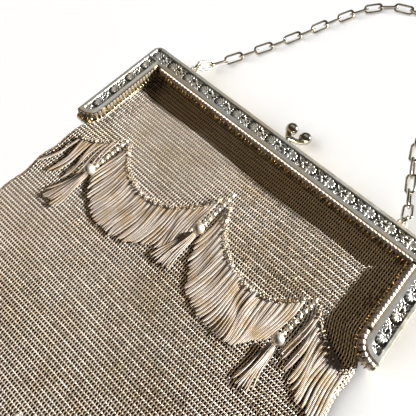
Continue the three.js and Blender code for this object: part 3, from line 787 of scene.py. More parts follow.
@dataclass(frozen=True)
class ReliefBand:
    """The stamped band: a ribbed shell with scrolls, a bud and crossed stems in every repeat."""

    pitch: float = 10.3
    half: float = 2.9
    lobes: int = 7
    shell_length: float = 4.0
    hinge: float = -1.7

    def shell(self, p: np.ndarray, q: np.ndarray) -> np.ndarray:
        """The ribbed shell, which opens along the band.

        Args:
            p: Places along the band from the shell.
            q: Places across the band from its middle.

        Returns:
            The height share at each place.
        """
        a = (p - self.hinge) / self.shell_length
        b = q / (self.half * 0.95)
        reach = np.hypot(a, b)
        phase = (np.arctan2(b, a) / math.radians(210) + 0.5) * self.lobes
        rib = np.sin(math.pi * (phase % 1.0))
        edge = 0.88 + 0.12 * rib
        inside = np.clip(1 - (reach / edge) ** 8, 0, 1) ** 0.5
        body = (0.5 + 0.45 * np.clip(reach, 0, 1)) * (0.58 + 0.42 * rib ** 0.6) * inside
        return np.where((phase > 0) & (phase < self.lobes), body, 0)

    @staticmethod
    def bead(p: np.ndarray, q: np.ndarray, at: tuple[float, float], radius: float, tall: float) -> np.ndarray:
        """A round bead at a place."""
        return tall * np.sqrt(np.clip(1 - ((p - at[0]) ** 2 + (q - at[1]) ** 2) / radius ** 2, 0, 1))

    @staticmethod
    def curl(p: np.ndarray, q: np.ndarray, at: tuple[float, float], radius: float, tall: float) -> np.ndarray:
        """A scroll that curls round a pit."""
        off = np.abs(np.hypot(p - at[0], q - at[1]) - radius)
        return tall * np.sqrt(np.clip(1 - (off / 0.36) ** 2, 0, 1))

    @staticmethod
    def stem(p: np.ndarray, q: np.ndarray, line: Sequence[tuple[float, float]], width: float,
             tall: float) -> np.ndarray:
        """A stem along a bent line.

        Args:
            p: Places along the band from the shell.
            q: Places across the band from its middle.
            line: The line's corners.
            width: Half the stem's width.
            tall: The stem's height share.

        Returns:
            The height share at each place.
        """
        best = np.zeros_like(p)
        for (ax, ay), (bx, by) in zip(line[:-1], line[1:]):
            dx, dy = bx - ax, by - ay
            t = np.clip(((p - ax) * dx + (q - ay) * dy) / (dx * dx + dy * dy), 0, 1)
            off = np.hypot(p - ax - t * dx, q - ay - t * dy)
            best = np.maximum(best, tall * np.sqrt(np.clip(1 - (off / width) ** 2, 0, 1)))
        return best

    def motif(self, p: np.ndarray, q: np.ndarray) -> np.ndarray:
        """The relief of one repeat, whose shell stands at p = 0.

        Args:
            p: Places along the band from the shell.
            q: Places across the band from its middle.

        Returns:
            The height share at each place.
        """
        shapes = [self.shell(p, q), self.bead(p, q, (self.hinge - 0.1, 0), 0.75, 0.75)]
        for side in (-1, 1):
            shapes += [
                self.curl(p, q, (-2.9, side * 1.45), 0.72, 0.8),
                self.curl(p, q, (4.9, side * 1.75), 0.42, 0.55),
                self.bead(p, q, (3.1, side * 0.55), 0.42, 0.5),
                self.bead(p, q, (-4.2, side * 0.95), 0.62, 0.9),
                self.bead(p, q, (-1.55, side * 2.45), 0.5, 0.7),
                self.curl(p, q, (3.75, side * 2.15), 0.5, 0.62),
                self.stem(p, q, [(2.3, side * 2.6), (3.2, side * 1.3), (4.5, side * 0.1), (5.6, -side * 1.1),
                                 (6.7, -side * 2.35)], 0.28, 0.7 if side > 0 else 0.58),
                self.stem(p, q, [(-4.4, side * 2.5), (-3.7, side * 2.2), (-2.6, side * 2.3)], 0.3, 0.6),
            ]
        shapes.append(self.bead(p, q, (-4.95, 0), 0.7, 0.85))
        return np.maximum.reduce(shapes)

    def relief(self, along: np.ndarray, across: np.ndarray, first: float, half: float) -> np.ndarray:
        """The relief along a band, as a share of its full height.

        Args:
            along: The way along the band.
            across: The way across it from its middle.
            first: Where the first shell stands.
            half: Half the band's width.

        Returns:
            The height share at each place.
        """
        p = along - first
        p = p - np.round(np.maximum(p, -self.pitch * 0.6) / self.pitch) * self.pitch
        q = across * self.half / half
        return np.maximum.reduce([self.motif(p + step * self.pitch, q) for step in (-1, 0, 1)])


@dataclass(frozen=True)
class FrameFront:
    """The front half of the frame: rims, relief, slotted inner strip, eyes and knuckles."""

    band: ReliefBand
    half_width: float = 82.5
    bar_width: float = 9.9
    arm_width: float = 8.85
    arm_length: float = 53.5
    tip_curve: float = 8.5
    corner: float = 4.0
    base: float = 5.8
    face: float = 11.2
    outer_rim: float = 1.8
    inner_rim: float = 2.3
    channel: float = 1.0
    rise: float = 0.98
    edge_round: float = 0.5
    rim_drop: float = 0.45
    cell: float = 0.2
    eye_spacing: float = 120.0
    eye_radius: float = 1.8
    eye_wire: float = 0.55
    knuckle_radius: float = 2.0
    knuckle_length: float = 3.2
    slot_pitch: float = 1.9
    strip_line: tuple[tuple[float, float], ...] = (
        (0.0, 10.2), (0.25, 10.9), (0.7, 11.25), (1.2, 11.4),
        (1.7, 11.3), (2.1, 10.8), (2.2, 10.0), (2.1, 9.0),
    )
    knuckle_form: float = 5.0
    bar_reach: float = 0.72
    left_reach: float = 0.3
    strip_wall: float = 0.2
    crown: float = 0.12
    bar_shell: float = 6.18
    arm_shell: float = 13.5
    link_radius: float = 0.62
    link_wire: float = 0.2
    link_reach: float = 0.95
    link_lean: float = -38.0
    link_place: Triple = (0.0, 1.6, 8.75)
    link_play: float = 0.16

    @property
    def inner(self) -> float:
        """The x of the arms' inner edge."""
        return self.half_width - self.arm_width

    def tip_line(self, x: np.ndarray, lift: float = 0.0, inset: float = 0.0) -> np.ndarray:
        """The line of the arms' curved tip.

        Args:
            x: Places along the bar.
            lift: How far the line lies above the tip.
            inset: How far it is drawn in from the arm's edges.

        Returns:
            The y at each place.
        """
        share = np.linspace(0, 1, 60)
        outer, inner = self.half_width - inset, self.inner + inset * 1.3
        at = outer * (1 - share) ** 2 + inner * (1 - (1 - share) ** 2)
        y = -self.arm_length + lift + (self.tip_curve - inset) * share ** 2
        return np.interp(np.abs(x), at[::-1], y[::-1])

    def stations(self, width: float, outer: float, inner: float, low: float) -> np.ndarray:
        """Places across a band, finer where the rims turn down.

        Args:
            width: The band's width.
            outer: The outer rim's width.
            inner: The inner rim's width.
            low: Where the band begins.

        Returns:
            The places, in rising order.
        """
        edge = np.array([0, 0.06, 0.16, 0.3, 0.5, 0.75])
        near = np.concatenate([edge, [inner * 0.55, inner - 0.3, inner - 0.1, inner + 0.05]])
        far = width - np.concatenate([edge, [outer * 0.6, outer - 0.1, outer + 0.05]])[::-1]
        middle = np.arange(inner + 0.05 + self.cell, width - outer - 0.05 - self.cell * 0.5, self.cell)
        return low + np.concatenate([near, middle, far])

    def grid(self, bm: Shape, xs: np.ndarray, ys: np.ndarray) -> None:
        """Adds a grid whose lines stand at these places.

        Args:
            bm: The bmesh that takes the grid.
            xs: Places of its lines along X.
            ys: Places of its lines along Y.
        """
        made = bmesh.ops.create_grid(bm, x_segments=len(xs) - 1, y_segments=len(ys) - 1, size=1.0)["verts"]
        spots = np.array([vert.co[:2] for vert in made])
        column = ((spots[:, 0] + 1) / 2 * (len(xs) - 1)).round().astype(int)
        line = ((spots[:, 1] + 1) / 2 * (len(ys) - 1)).round().astype(int)
        for vert, x, y in zip(made, xs[column], ys[line]):
            vert.co = (x, y, 0)

    def outline_mesh(self) -> Shape:
        """The flat U of the frame as a fine grid, with its corners and tips to shape.

        Returns:
            The grid as a bmesh.
        """
        bm = bmesh.new()
        arm = self.stations(self.arm_width, self.outer_rim, self.inner_rim, self.inner)
        middle = np.linspace(-self.inner, self.inner, int(2 * self.inner / self.cell) + 1)[1:-1]
        bar = self.stations(self.bar_width, self.outer_rim, self.inner_rim, -self.bar_width)
        self.grid(bm, np.concatenate([-arm[::-1], middle, arm]), bar)
        drop = np.linspace(0, 1, int((self.arm_length - self.bar_width) / self.cell) + 1)
        for side in (-1, 1):
            self.grid(bm, np.sort(side * arm), -self.bar_width - drop[::-1])
        for vert in bm.verts:
            x, y = vert.co.x, vert.co.y
            if y < -self.bar_width - 1e-6:
                tip = float(self.tip_line(np.array([x]))[0])
                vert.co.y = -self.bar_width + (-self.bar_width - y) * (tip + self.bar_width)
            a = (abs(x) - self.half_width + self.corner) / self.corner
            b = (y + self.corner) / self.corner
            if a > 0 and b > 0:
                squeeze = max(a, b) / math.hypot(a, b)
                vert.co.x = math.copysign(self.half_width - self.corner * (1 - a * squeeze), x)
                vert.co.y = -self.corner * (1 - b * squeeze)
        bmesh.ops.remove_doubles(bm, verts=bm.verts, dist=0.001)
        return bm

    def edge_distance(self, x: np.ndarray, y: np.ndarray) -> np.ndarray:
        """How far a place lies inside the outline.

        Args:
            x: Places along the bar.
            y: Places from the bar's outer edge.

        Returns:
            The distance at each place.
        """
        far = np.abs(x)
        outside = np.minimum(self.half_width - far, -y)
        a, b = far - self.half_width + self.corner, y + self.corner
        round_off = self.corner - np.hypot(np.maximum(a, 0), np.maximum(b, 0))
        outside = np.where((a > 0) & (b > 0), round_off, outside)
        inside = np.hypot(np.maximum(far - self.inner, 0), np.maximum(y + self.bar_width, 0))
        tip = (y - self.tip_line(x)) * 0.75
        on_arm = y < -self.bar_width
        return np.where(on_arm, np.minimum(np.minimum(outside, far - self.inner), tip),
                        np.minimum(outside, inside))

    def channels(self, x: np.ndarray, y: np.ndarray) -> tuple[np.ndarray, np.ndarray]:
        """How deep a place lies inside the bar's channel, and inside an arm's.

        Args:
            x: Places along the bar.
            y: Places from the bar's outer edge.

        Returns:
            The two depths, which are below zero outside the channel.
        """
        far = np.abs(x)
        bar = np.minimum.reduce([self.half_width - self.outer_rim - far, -self.outer_rim - y,
                                 y + self.bar_width - self.inner_rim])
        start = -self.bar_width + self.inner_rim - 1.4
        foot = self.tip_line(x, self.outer_rim * 1.6, self.outer_rim)
        arm = np.minimum.reduce([self.half_width - self.outer_rim - far, far - self.inner - self.inner_rim,
                                 start - y, (y - foot) * 0.75])
        return bar, arm

    def surface(self, x: np.ndarray, y: np.ndarray) -> tuple[np.ndarray, np.ndarray]:
        """The height of the face and how recessed it is.

        Args:
            x: Places along the bar.
            y: Places from the bar's outer edge.

        Returns:
            The height, and the recess from 0 to 1.
        """
        bar, arm = self.channels(x, y)
        bar_half = (self.bar_width - self.outer_rim - self.inner_rim) / 2
        arm_half = (self.arm_width - self.outer_rim - self.inner_rim) / 2
        bar_relief = self.band.relief(np.abs(x), y + self.outer_rim + bar_half, self.bar_shell, bar_half)
        arm_across = np.abs(x) - self.half_width + self.outer_rim + arm_half
        arm_relief = self.band.relief(-y, arm_across, self.arm_shell, arm_half)
        share = np.where(bar > 0, bar_relief, np.where(arm > 0, arm_relief, 0))
        deep = smoothstep(np.maximum(bar, arm), -0.05, 0.22)
        raised = share * smoothstep(np.maximum(bar, arm), 0.0, 0.25)
        low = deep * (self.channel - self.rise * raised)
        gap = np.clip(self.edge_round - self.edge_distance(x, y), 0, self.edge_round)
        turned = self.edge_round - np.sqrt(self.edge_round ** 2 - gap ** 2)
        crown = self.crown * smoothstep(self.edge_distance(x, y), 0.0, 0.5)
        inward = np.where(y < -self.bar_width, np.abs(x) - self.inner, y + self.bar_width)
        on_bar = (np.abs(x) < self.inner + 2) | (y < -self.bar_width)
        slope = self.rim_drop * np.clip(1 - inward / self.inner_rim, 0, 1) * on_bar
        height = self.face - self.crown + crown - low - turned * 0.8 - slope
        return height, np.clip(low / self.channel, 0, 1)

    def plate(self) -> Shape:
        """The relief plate with its walls and its flat underside.

        Returns:
            The plate as a bmesh, in millimetres.
        """
        bm = self.outline_mesh()
        spots = np.array([vert.co[:2] for vert in bm.verts])
        height, patina_and_shade = self.surface(spots[:, 0], spots[:, 1])
        brass = 1 - smoothstep(self.edge_distance(spots[:, 0], spots[:, 1]), 0.15, 0.8)
        recess_layer = bm.verts.layers.float.new("patina_and_shade")
        edge_layer = bm.verts.layers.float.new("edge")
        for vert, z, deep, worn in zip(bm.verts, height, patina_and_shade, brass):
            vert.co.z = z
            vert[recess_layer] = deep
            vert[edge_layer] = worn
        rim = [edge for edge in bm.edges if edge.is_boundary]
        grown = bmesh.ops.extrude_edge_only(bm, edges=rim)["geom"]
        for vert in verts_of(grown):
            vert.co.z = self.base
            vert[recess_layer] = 0.1
            vert[edge_layer] = 1.0
        bmesh.ops.edgeloop_fill(bm, edges=edges_of(grown))
        return bm

    def fittings(self, bm: Shape) -> None:
        """Adds the chain's eyes and the hinge knuckles.

        Args:
            bm: The plate's bmesh.
        """
        layer = bm.verts.layers.float["patina_and_shade"]
        for side in (-1, 1):
            section = Matrix.Rotation(math.pi / 2, 4, "X")
            middle = Vector((side * self.eye_spacing / 2, self.eye_radius, (self.base + self.face) / 2))
            place = Matrix.Translation(middle + Vector((self.eye_radius, 0, 0))) @ section
            made = bmesh.ops.create_circle(bm, segments=10, radius=self.eye_wire, matrix=place)["verts"]
            ring = bmesh.ops.spin(bm, geom=made + edges_at(made), cent=middle, axis=(0, 0, 1), angle=math.tau,
                                  steps=24, use_merge=True)
            for vert in verts_of(ring["geom_last"]):
                vert[layer] = 0.0
            start = self.half_width - self.knuckle_length / 2
            axis = Matrix.Translation((side * start, -self.arm_length, self.face / 2))
            axis = axis @ Matrix.Rotation(math.pi / 2, 4, "Y")
            bmesh.ops.create_cone(bm, cap_ends=True, segments=24, radius1=self.knuckle_radius,
                                  radius2=self.knuckle_radius, depth=self.knuckle_length, matrix=axis)

    def build(self) -> list[Piece]:
        """Makes the front half, its slotted strip and the links that hang from it.

        Returns:
            The plate, the strip and the links.
        """
        bm = self.plate()
        self.fittings(bm)
        bmesh.ops.recalc_face_normals(bm, faces=bm.faces)
        brought_home(bm)
        return [as_object("frame_front_relief", bm, 55.0), self.strip(), self.hanging_links()]

    def strip_stations(self) -> list[tuple[float, float, float, float]]:
        """Where each slot stands on the frame's inner edge.

        Returns:
            The x and y of each slot, the turn of its inward side and the strip's reach there.
        """
        across = int(2 * (self.inner - 1.5) / self.slot_pitch)
        places = [((i - (across - 1) / 2) * self.slot_pitch, -self.bar_width, -math.pi / 2, self.bar_reach)
                  for i in range(across)]
        down = int((self.arm_length - self.bar_width - self.tip_curve - 1.5) / self.slot_pitch)
        for side, reach in ((-1, self.left_reach), (1, 1.0)):
            places += [(side * self.inner, -self.bar_width - 1.5 - self.slot_pitch * (i + 0.5),
                        math.pi if side > 0 else 0.0, reach) for i in range(down)]
            x = np.linspace(self.inner, self.half_width - 1.5, 40)
            y = self.tip_line(x)
            way = np.concatenate([[0], np.cumsum(np.hypot(np.diff(x), np.diff(y)))])
            for stop in np.arange(self.slot_pitch * 0.5, way[-1], self.slot_pitch):
                at = [float(np.interp(stop + shift, way, line)) for shift in (-0.5, 0.5) for line in (x, y)]
                turn = math.atan2(at[0] - at[2], at[3] - at[1])
                places.append((side * (at[0] + at[2]) / 2, (at[1] + at[3]) / 2,
                               turn if side > 0 else math.pi - turn, reach))
        return places

    def strip(self) -> Piece:
        """The slotted strip that leans in from the frame's inner edge.

        Returns:
            The strip as one piece.
        """
        half = self.slot_pitch / 2
        bm = bmesh.new()
        bmesh.ops.create_grid(bm, x_segments=10, y_segments=len(self.strip_line) - 1, size=1.0)
        (root, base), steps = self.strip_line[0], len(self.strip_line) - 1
        for vert in bm.verts:
            swell = math.sqrt(1 - abs(vert.co.x * 0.985) ** self.knuckle_form)
            line, z = self.strip_line[round((1 - vert.co.y) / 2 * steps)]
            vert.co.x *= half
            vert.co.y = root + (line - root) * (0.3 + 0.7 * swell)
            vert.co.z = base + (z - base) * (0.2 + 0.8 * swell if z > base else 1)
        bmesh.ops.solidify(bm, geom=bm.faces[:], thickness=self.strip_wall)
        bmesh.ops.recalc_face_normals(bm, faces=bm.faces)
        places = self.strip_stations()
        piece = self.set_out(as_object("mesh_strip", bm, 60.0), places, 0.0, 1.0)
        # Painted shade: the cells on the left arm are darkened where the key light falls full on them.
        shade_painted = np.array([float(reach == self.left_reach) for _, _, _, reach in places])
        marked(piece.data, "patina_and_shade", shade_painted.repeat(len(piece.data.vertices) // len(places)))
        return piece

    def hanging_links(self) -> Piece:
        """The gold wire links that join the strip to the mesh's first row, brightened as painted light
        against the bar's shadow.

        Returns:
            The links as one piece.
        """
        bm = drawn_out(ring_shape(self.link_radius, self.link_wire, 10, 6, 0.5), self.link_reach)
        for turn, axis in ((90.0, "X"), (90.0, "Z"), (self.link_lean, "X")):
            bmesh.ops.rotate(bm, verts=bm.verts, matrix=Matrix.Rotation(math.radians(turn), 3, axis))
        bmesh.ops.translate(bm, verts=bm.verts, vec=self.link_place)
        piece = as_object("hanging_links", bm, 180.0)
        return self.set_out(piece, self.strip_stations(), self.link_play, 0.0)

    def set_out(self, piece: Piece, places: Sequence[tuple[float, float, float, float]],
                loose: float, stretch: float) -> Piece:
        """Repeats a cell at every slot, with its y as the inward side.

        Args:
            piece: The cell, about x = 0.
            places: The slots' places, turns and reaches.
            loose: How far each copy may turn by chance, in radians.
            stretch: 1 where the reach scales the cell, and 0 where it only moves it.

        Returns:
            The joined copies, in the row frame.
        """
        repeated(piece, [(len(places), (0, 0, 0))])
        cells = coordinates(piece.data).reshape(len(places), -1, 3)
        for cell, (x, y, turn, reach) in zip(cells, places):
            cell[:, 1] *= 1 + (reach - 1) * stretch
            cell[:, 1] += (reach - self.bar_reach) * 2.2 * (1 - stretch)
            angle = turn - math.pi / 2 + CHANCE.normal(0, 1) * loose
            cos, sin = math.cos(angle), math.sin(angle)
            cell[:, :2] = cell[:, :2] @ np.array([[cos, sin], [-sin, cos]]) + (x, y)
        move_to(piece.data, to_row_frame(cells.reshape(-1, 3)))
        return piece

    def dress(self, pieces: list[Piece]) -> None:
        """Gives the front half its finishes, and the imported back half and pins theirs.

        Args:
            pieces: What build returned.
        """
        plate, strip, links = pieces
        silver = WornSilver("relief_silver", (0.66, 0.685, 0.675), (0.66, 0.60, 0.47), (0.09, 0.085, 0.075),
                            patina_and_shade=True, patch=16.0, roughness=0.3, metallic=0.9, grain=0.012)
        finish_piece(plate, [silver.material()], ["frame_front"])
        # The strip's dark colour is painted shade, laid on its left-arm cells.
        shade_painted = WornSilver("strip_silver", (0.58, 0.51, 0.48), (0.54, 0.45, 0.36), (0.13, 0.11, 0.08),
                          roughness=0.55, metallic=0.3, patina_and_shade=True)
        finish_piece(strip, [shade_painted.material()])
        # The links' bright gold is partly painted light, standing in for warm light in the bar's shadow.
        gilt_and_painted_light = WornSilver("link_gilt_and_painted_light", (0.80, 0.66, 0.42), (0.62, 0.43, 0.18), roughness=0.25)
        finish_piece(links, [gilt_and_painted_light.material()])
        plain = WornSilver("plain_silver", patch=12.0).material()
        brass = WornSilver("hinge_brass", (0.72, 0.56, 0.26), (0.55, 0.38, 0.14), roughness=0.35).material()
        for name, finish in (("frame_back", plain), ("hinge_pin_left", brass), ("hinge_pin_right", brass)):
            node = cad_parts[name]
            node.data.materials.clear()
            node.data.materials.append(finish)


@dataclass(frozen=True)
class Clasp:
    """The kiss-lock: two polished balls on crossed stems."""

    ball: float = 3.1
    spacing: float = 7.8
    stand: float = 9.7
    stem: float = 1.15
    offset: float = 1.4
    middle: float = 5.6
    foot: float = 1.7
    feet: tuple[float, float] = (8.5, 2.7)

    def knob(self, name: str, side: int, foot_z: float) -> Piece:
        """One knob: a foot, a bent stem that swells to a collar, and a ball.

        Args:
            name: The piece's name.
            side: 1 for the front half's knob, -1 for the back half's.
            foot_z: The height of the foot's middle.

        Returns:
            The knob.
        """
        x, start = side * self.spacing / 2, -side * self.offset
        turn = foot_z + (self.middle - foot_z) * 0.35
        route = [(start, 0.3, foot_z), (start, 0.9, foot_z), (start, 2.4, foot_z), (start * 0.4, 3.4, foot_z),
                 (x * 0.35, 4.1, turn), (x * 0.7, 5.2, (turn + self.middle) / 2), (x, 7.4, self.middle),
                 (x, 8.4, self.middle)]
        radii = [self.foot, self.foot * 0.8, self.stem, self.stem, self.stem, self.stem * 1.1,
                 self.stem * 1.5, self.stem * 1.2]
        fine = 4
        knots = np.linspace(0, len(route) - 1, (len(route) - 1) * fine + 1)
        lines = [np.interp(knots, range(len(route)), [p[axis] for p in route]) for axis in range(3)]
        smooth = [Vector(map(float, spot)) for spot in zip(*lines)]
        for _ in range(6):
            smooth[1:-1] = [(a + b * 2 + c) / 4 for a, b, c in zip(smooth[:-2], smooth[1:-1], smooth[2:])]
        bm = bmesh.new()
        swept(bm, smooth, np.interp(knots, range(len(radii)), radii), 16)
        lay = Matrix.Translation((x, self.stand, self.middle)) @ Matrix.Rotation(math.pi / 2, 4, "X")
        bmesh.ops.create_uvsphere(bm, u_segments=40, v_segments=24, radius=self.ball, matrix=lay)
        brought_home(bm)
        return as_object(name, bm, 60.0)

    def build(self) -> list[Piece]:
        """Makes the front knob and the back knob."""
        sides = (("clasp_ball_front", 1, self.feet[0]), ("clasp_ball_back", -1, self.feet[1]))
        return [self.knob(*side) for side in sides]

    def dress(self, pieces: list[Piece], polish: bpy.types.Material) -> None:
        """Polishes the knobs."""
        for piece, node in zip(pieces, ("clasp_knob_front", "clasp_knob_back")):
            finish_piece(piece, [polish], [node])


@dataclass(frozen=True)
class Chain:
    """The chain of long links between the two eyes, each turned a quarter from the last."""

    route: tuple[tuple[float, float], ...] = (
        (-58.0, 14.3), (-52.1, 31.3), (-44.6, 48.8), (-37.6, 67.4), (-31.2, 86.3), (-22.9, 105.9),
        (-11.2, 119.3), (-0.6, 123.3), (11, 121), (22, 111.5), (30, 96), (36, 77), (41, 60),
        (45.2, 44.3), (49.7, 34.1), (54.0, 24.6), (57.8, 15),
    )
    eye_spacing: float = 120.0
    length: float = 12.0
    width: float = 5.0
    wire: float = 1.2
    bite: float = 0.3
    roll: float = 40.0
    rest: float = 2.1
    eye_z: float = 8.5
    ring_near: float = 2.15
    ring_radius: float = 1.9

    def joints(self) -> np.ndarray:
        """Where the links meet, evenly spaced on the centripetal curve through the route.

        Returns:
            Rows of x, y and z, from the left eye to the right.
        """
        hang = self.ring_near + 2 * self.ring_radius - (self.wire - self.bite) / 2
        ends = [(side * self.eye_spacing / 2, hang, self.eye_z) for side in (-1, 1)]
        near = self.rest + (self.eye_z - self.rest) * 0.35
        laid = [(x, y, self.rest) for x, y in self.route]
        laid[0], laid[-1] = (*laid[0][:2], near), (*laid[-1][:2], near)
        knots = np.array([ends[0], *laid, ends[1]])
        knots = np.vstack([2 * knots[0] - knots[1], knots, 2 * knots[-1] - knots[-2]])
        times = np.concatenate([[0], np.cumsum(np.linalg.norm(np.diff(knots, axis=0), axis=1) ** 0.5)])
        line = []
        for i in range(1, len(knots) - 2):
            p, t = knots[i - 1:i + 3], times[i - 1:i + 3]
            now = np.linspace(t[1], t[2], 40, endpoint=False)[:, None]
            a = [p[k] * (t[k + 1] - now) / (t[k + 1] - t[k]) + p[k + 1] * (now - t[k]) / (t[k + 1] - t[k])
                 for k in range(3)]
            b = [a[k] * (t[k + 2] - now) / (t[k + 2] - t[k]) + a[k + 1] * (now - t[k]) / (t[k + 2] - t[k])
                 for k in range(2)]
            line.append(b[0] * (t[2] - now) / (t[2] - t[1]) + b[1] * (now - t[1]) / (t[2] - t[1]))
        line = np.vstack([*line, knots[-2]])
        way = np.concatenate([[0], np.cumsum(np.linalg.norm(np.diff(line, axis=0), axis=1))])
        pitch = self.length - 2 * self.wire
        count = round(way[-1] / pitch / 2) * 2 + 1
        stops = np.linspace(0, way[-1], count + 1)
        found = np.column_stack([np.interp(stops, way, line[:, axis]) for axis in range(3)])
        found[:, 2] = np.maximum(found[:, 2], self.rest)
        return found

    def build(self) -> list[Piece]:
        """Makes the links, and a jump ring in each eye, as one piece.

        Returns:
            A list of the one piece.
        """
        joints = self.joints()
        count = len(joints) - 1
        straight = (self.length - self.bite - self.width) / 2
        link = drawn_out(ring_shape((self.width - self.wire) / 2, self.wire / 2, 20, 10, 0.5), straight)
        piece = repeated(as_object("chain_links", link, 180.0), [(count + 2, (0, 0, 0))])
        links = coordinates(piece.data).reshape(count + 2, -1, 3)
        for i in range(count):
            start, end = joints[i], joints[i + 1]
            span = np.linalg.norm(end - start)
            along = (end - start) / span
            across = np.cross((0, 0, 1), along)
            across /= np.linalg.norm(across)
            upward = np.cross(along, across)
            roll = math.radians(self.roll + 90 * (i % 2))
            across, upward = (across * math.cos(roll) + upward * math.sin(roll),
                              upward * math.cos(roll) - across * math.sin(roll))
            links[i] = links[i] @ np.array([along, across, upward]) + (start + end) / 2
        for i, side in enumerate((-1, 1)):
            ring = links[count + i]
            ring[:, 0] -= np.sign(ring[:, 0]) * straight
            turned = np.stack([ring[:, 2], ring[:, 1], -ring[:, 0]], -1)
            middle = (side * self.eye_spacing / 2, self.ring_near + self.ring_radius, self.eye_z)
            links[count + i] = turned + middle
        move_to(piece.data, to_row_frame(links.reshape(-1, 3)))
        return [piece]

    def dress(self, pieces: list[Piece], polish: bpy.types.Material) -> None:
        """Polishes the chain."""
        finish_piece(pieces[0], [polish], ["chain"])


@dataclass(frozen=True)
class Peak:
    """Where a bead string hangs from a garland, with the lean of its string and its tassel."""

    side: str
    x: float
    y: float
    string_lean: float
    tassel_lean: float

    def down(self, reach: float, lean: float) -> tuple[float, float]:
        """The place this far down a line that leans by so many degrees."""
        turn = math.radians(lean)
        return self.x + math.sin(turn) * reach, self.y - math.cos(turn) * reach


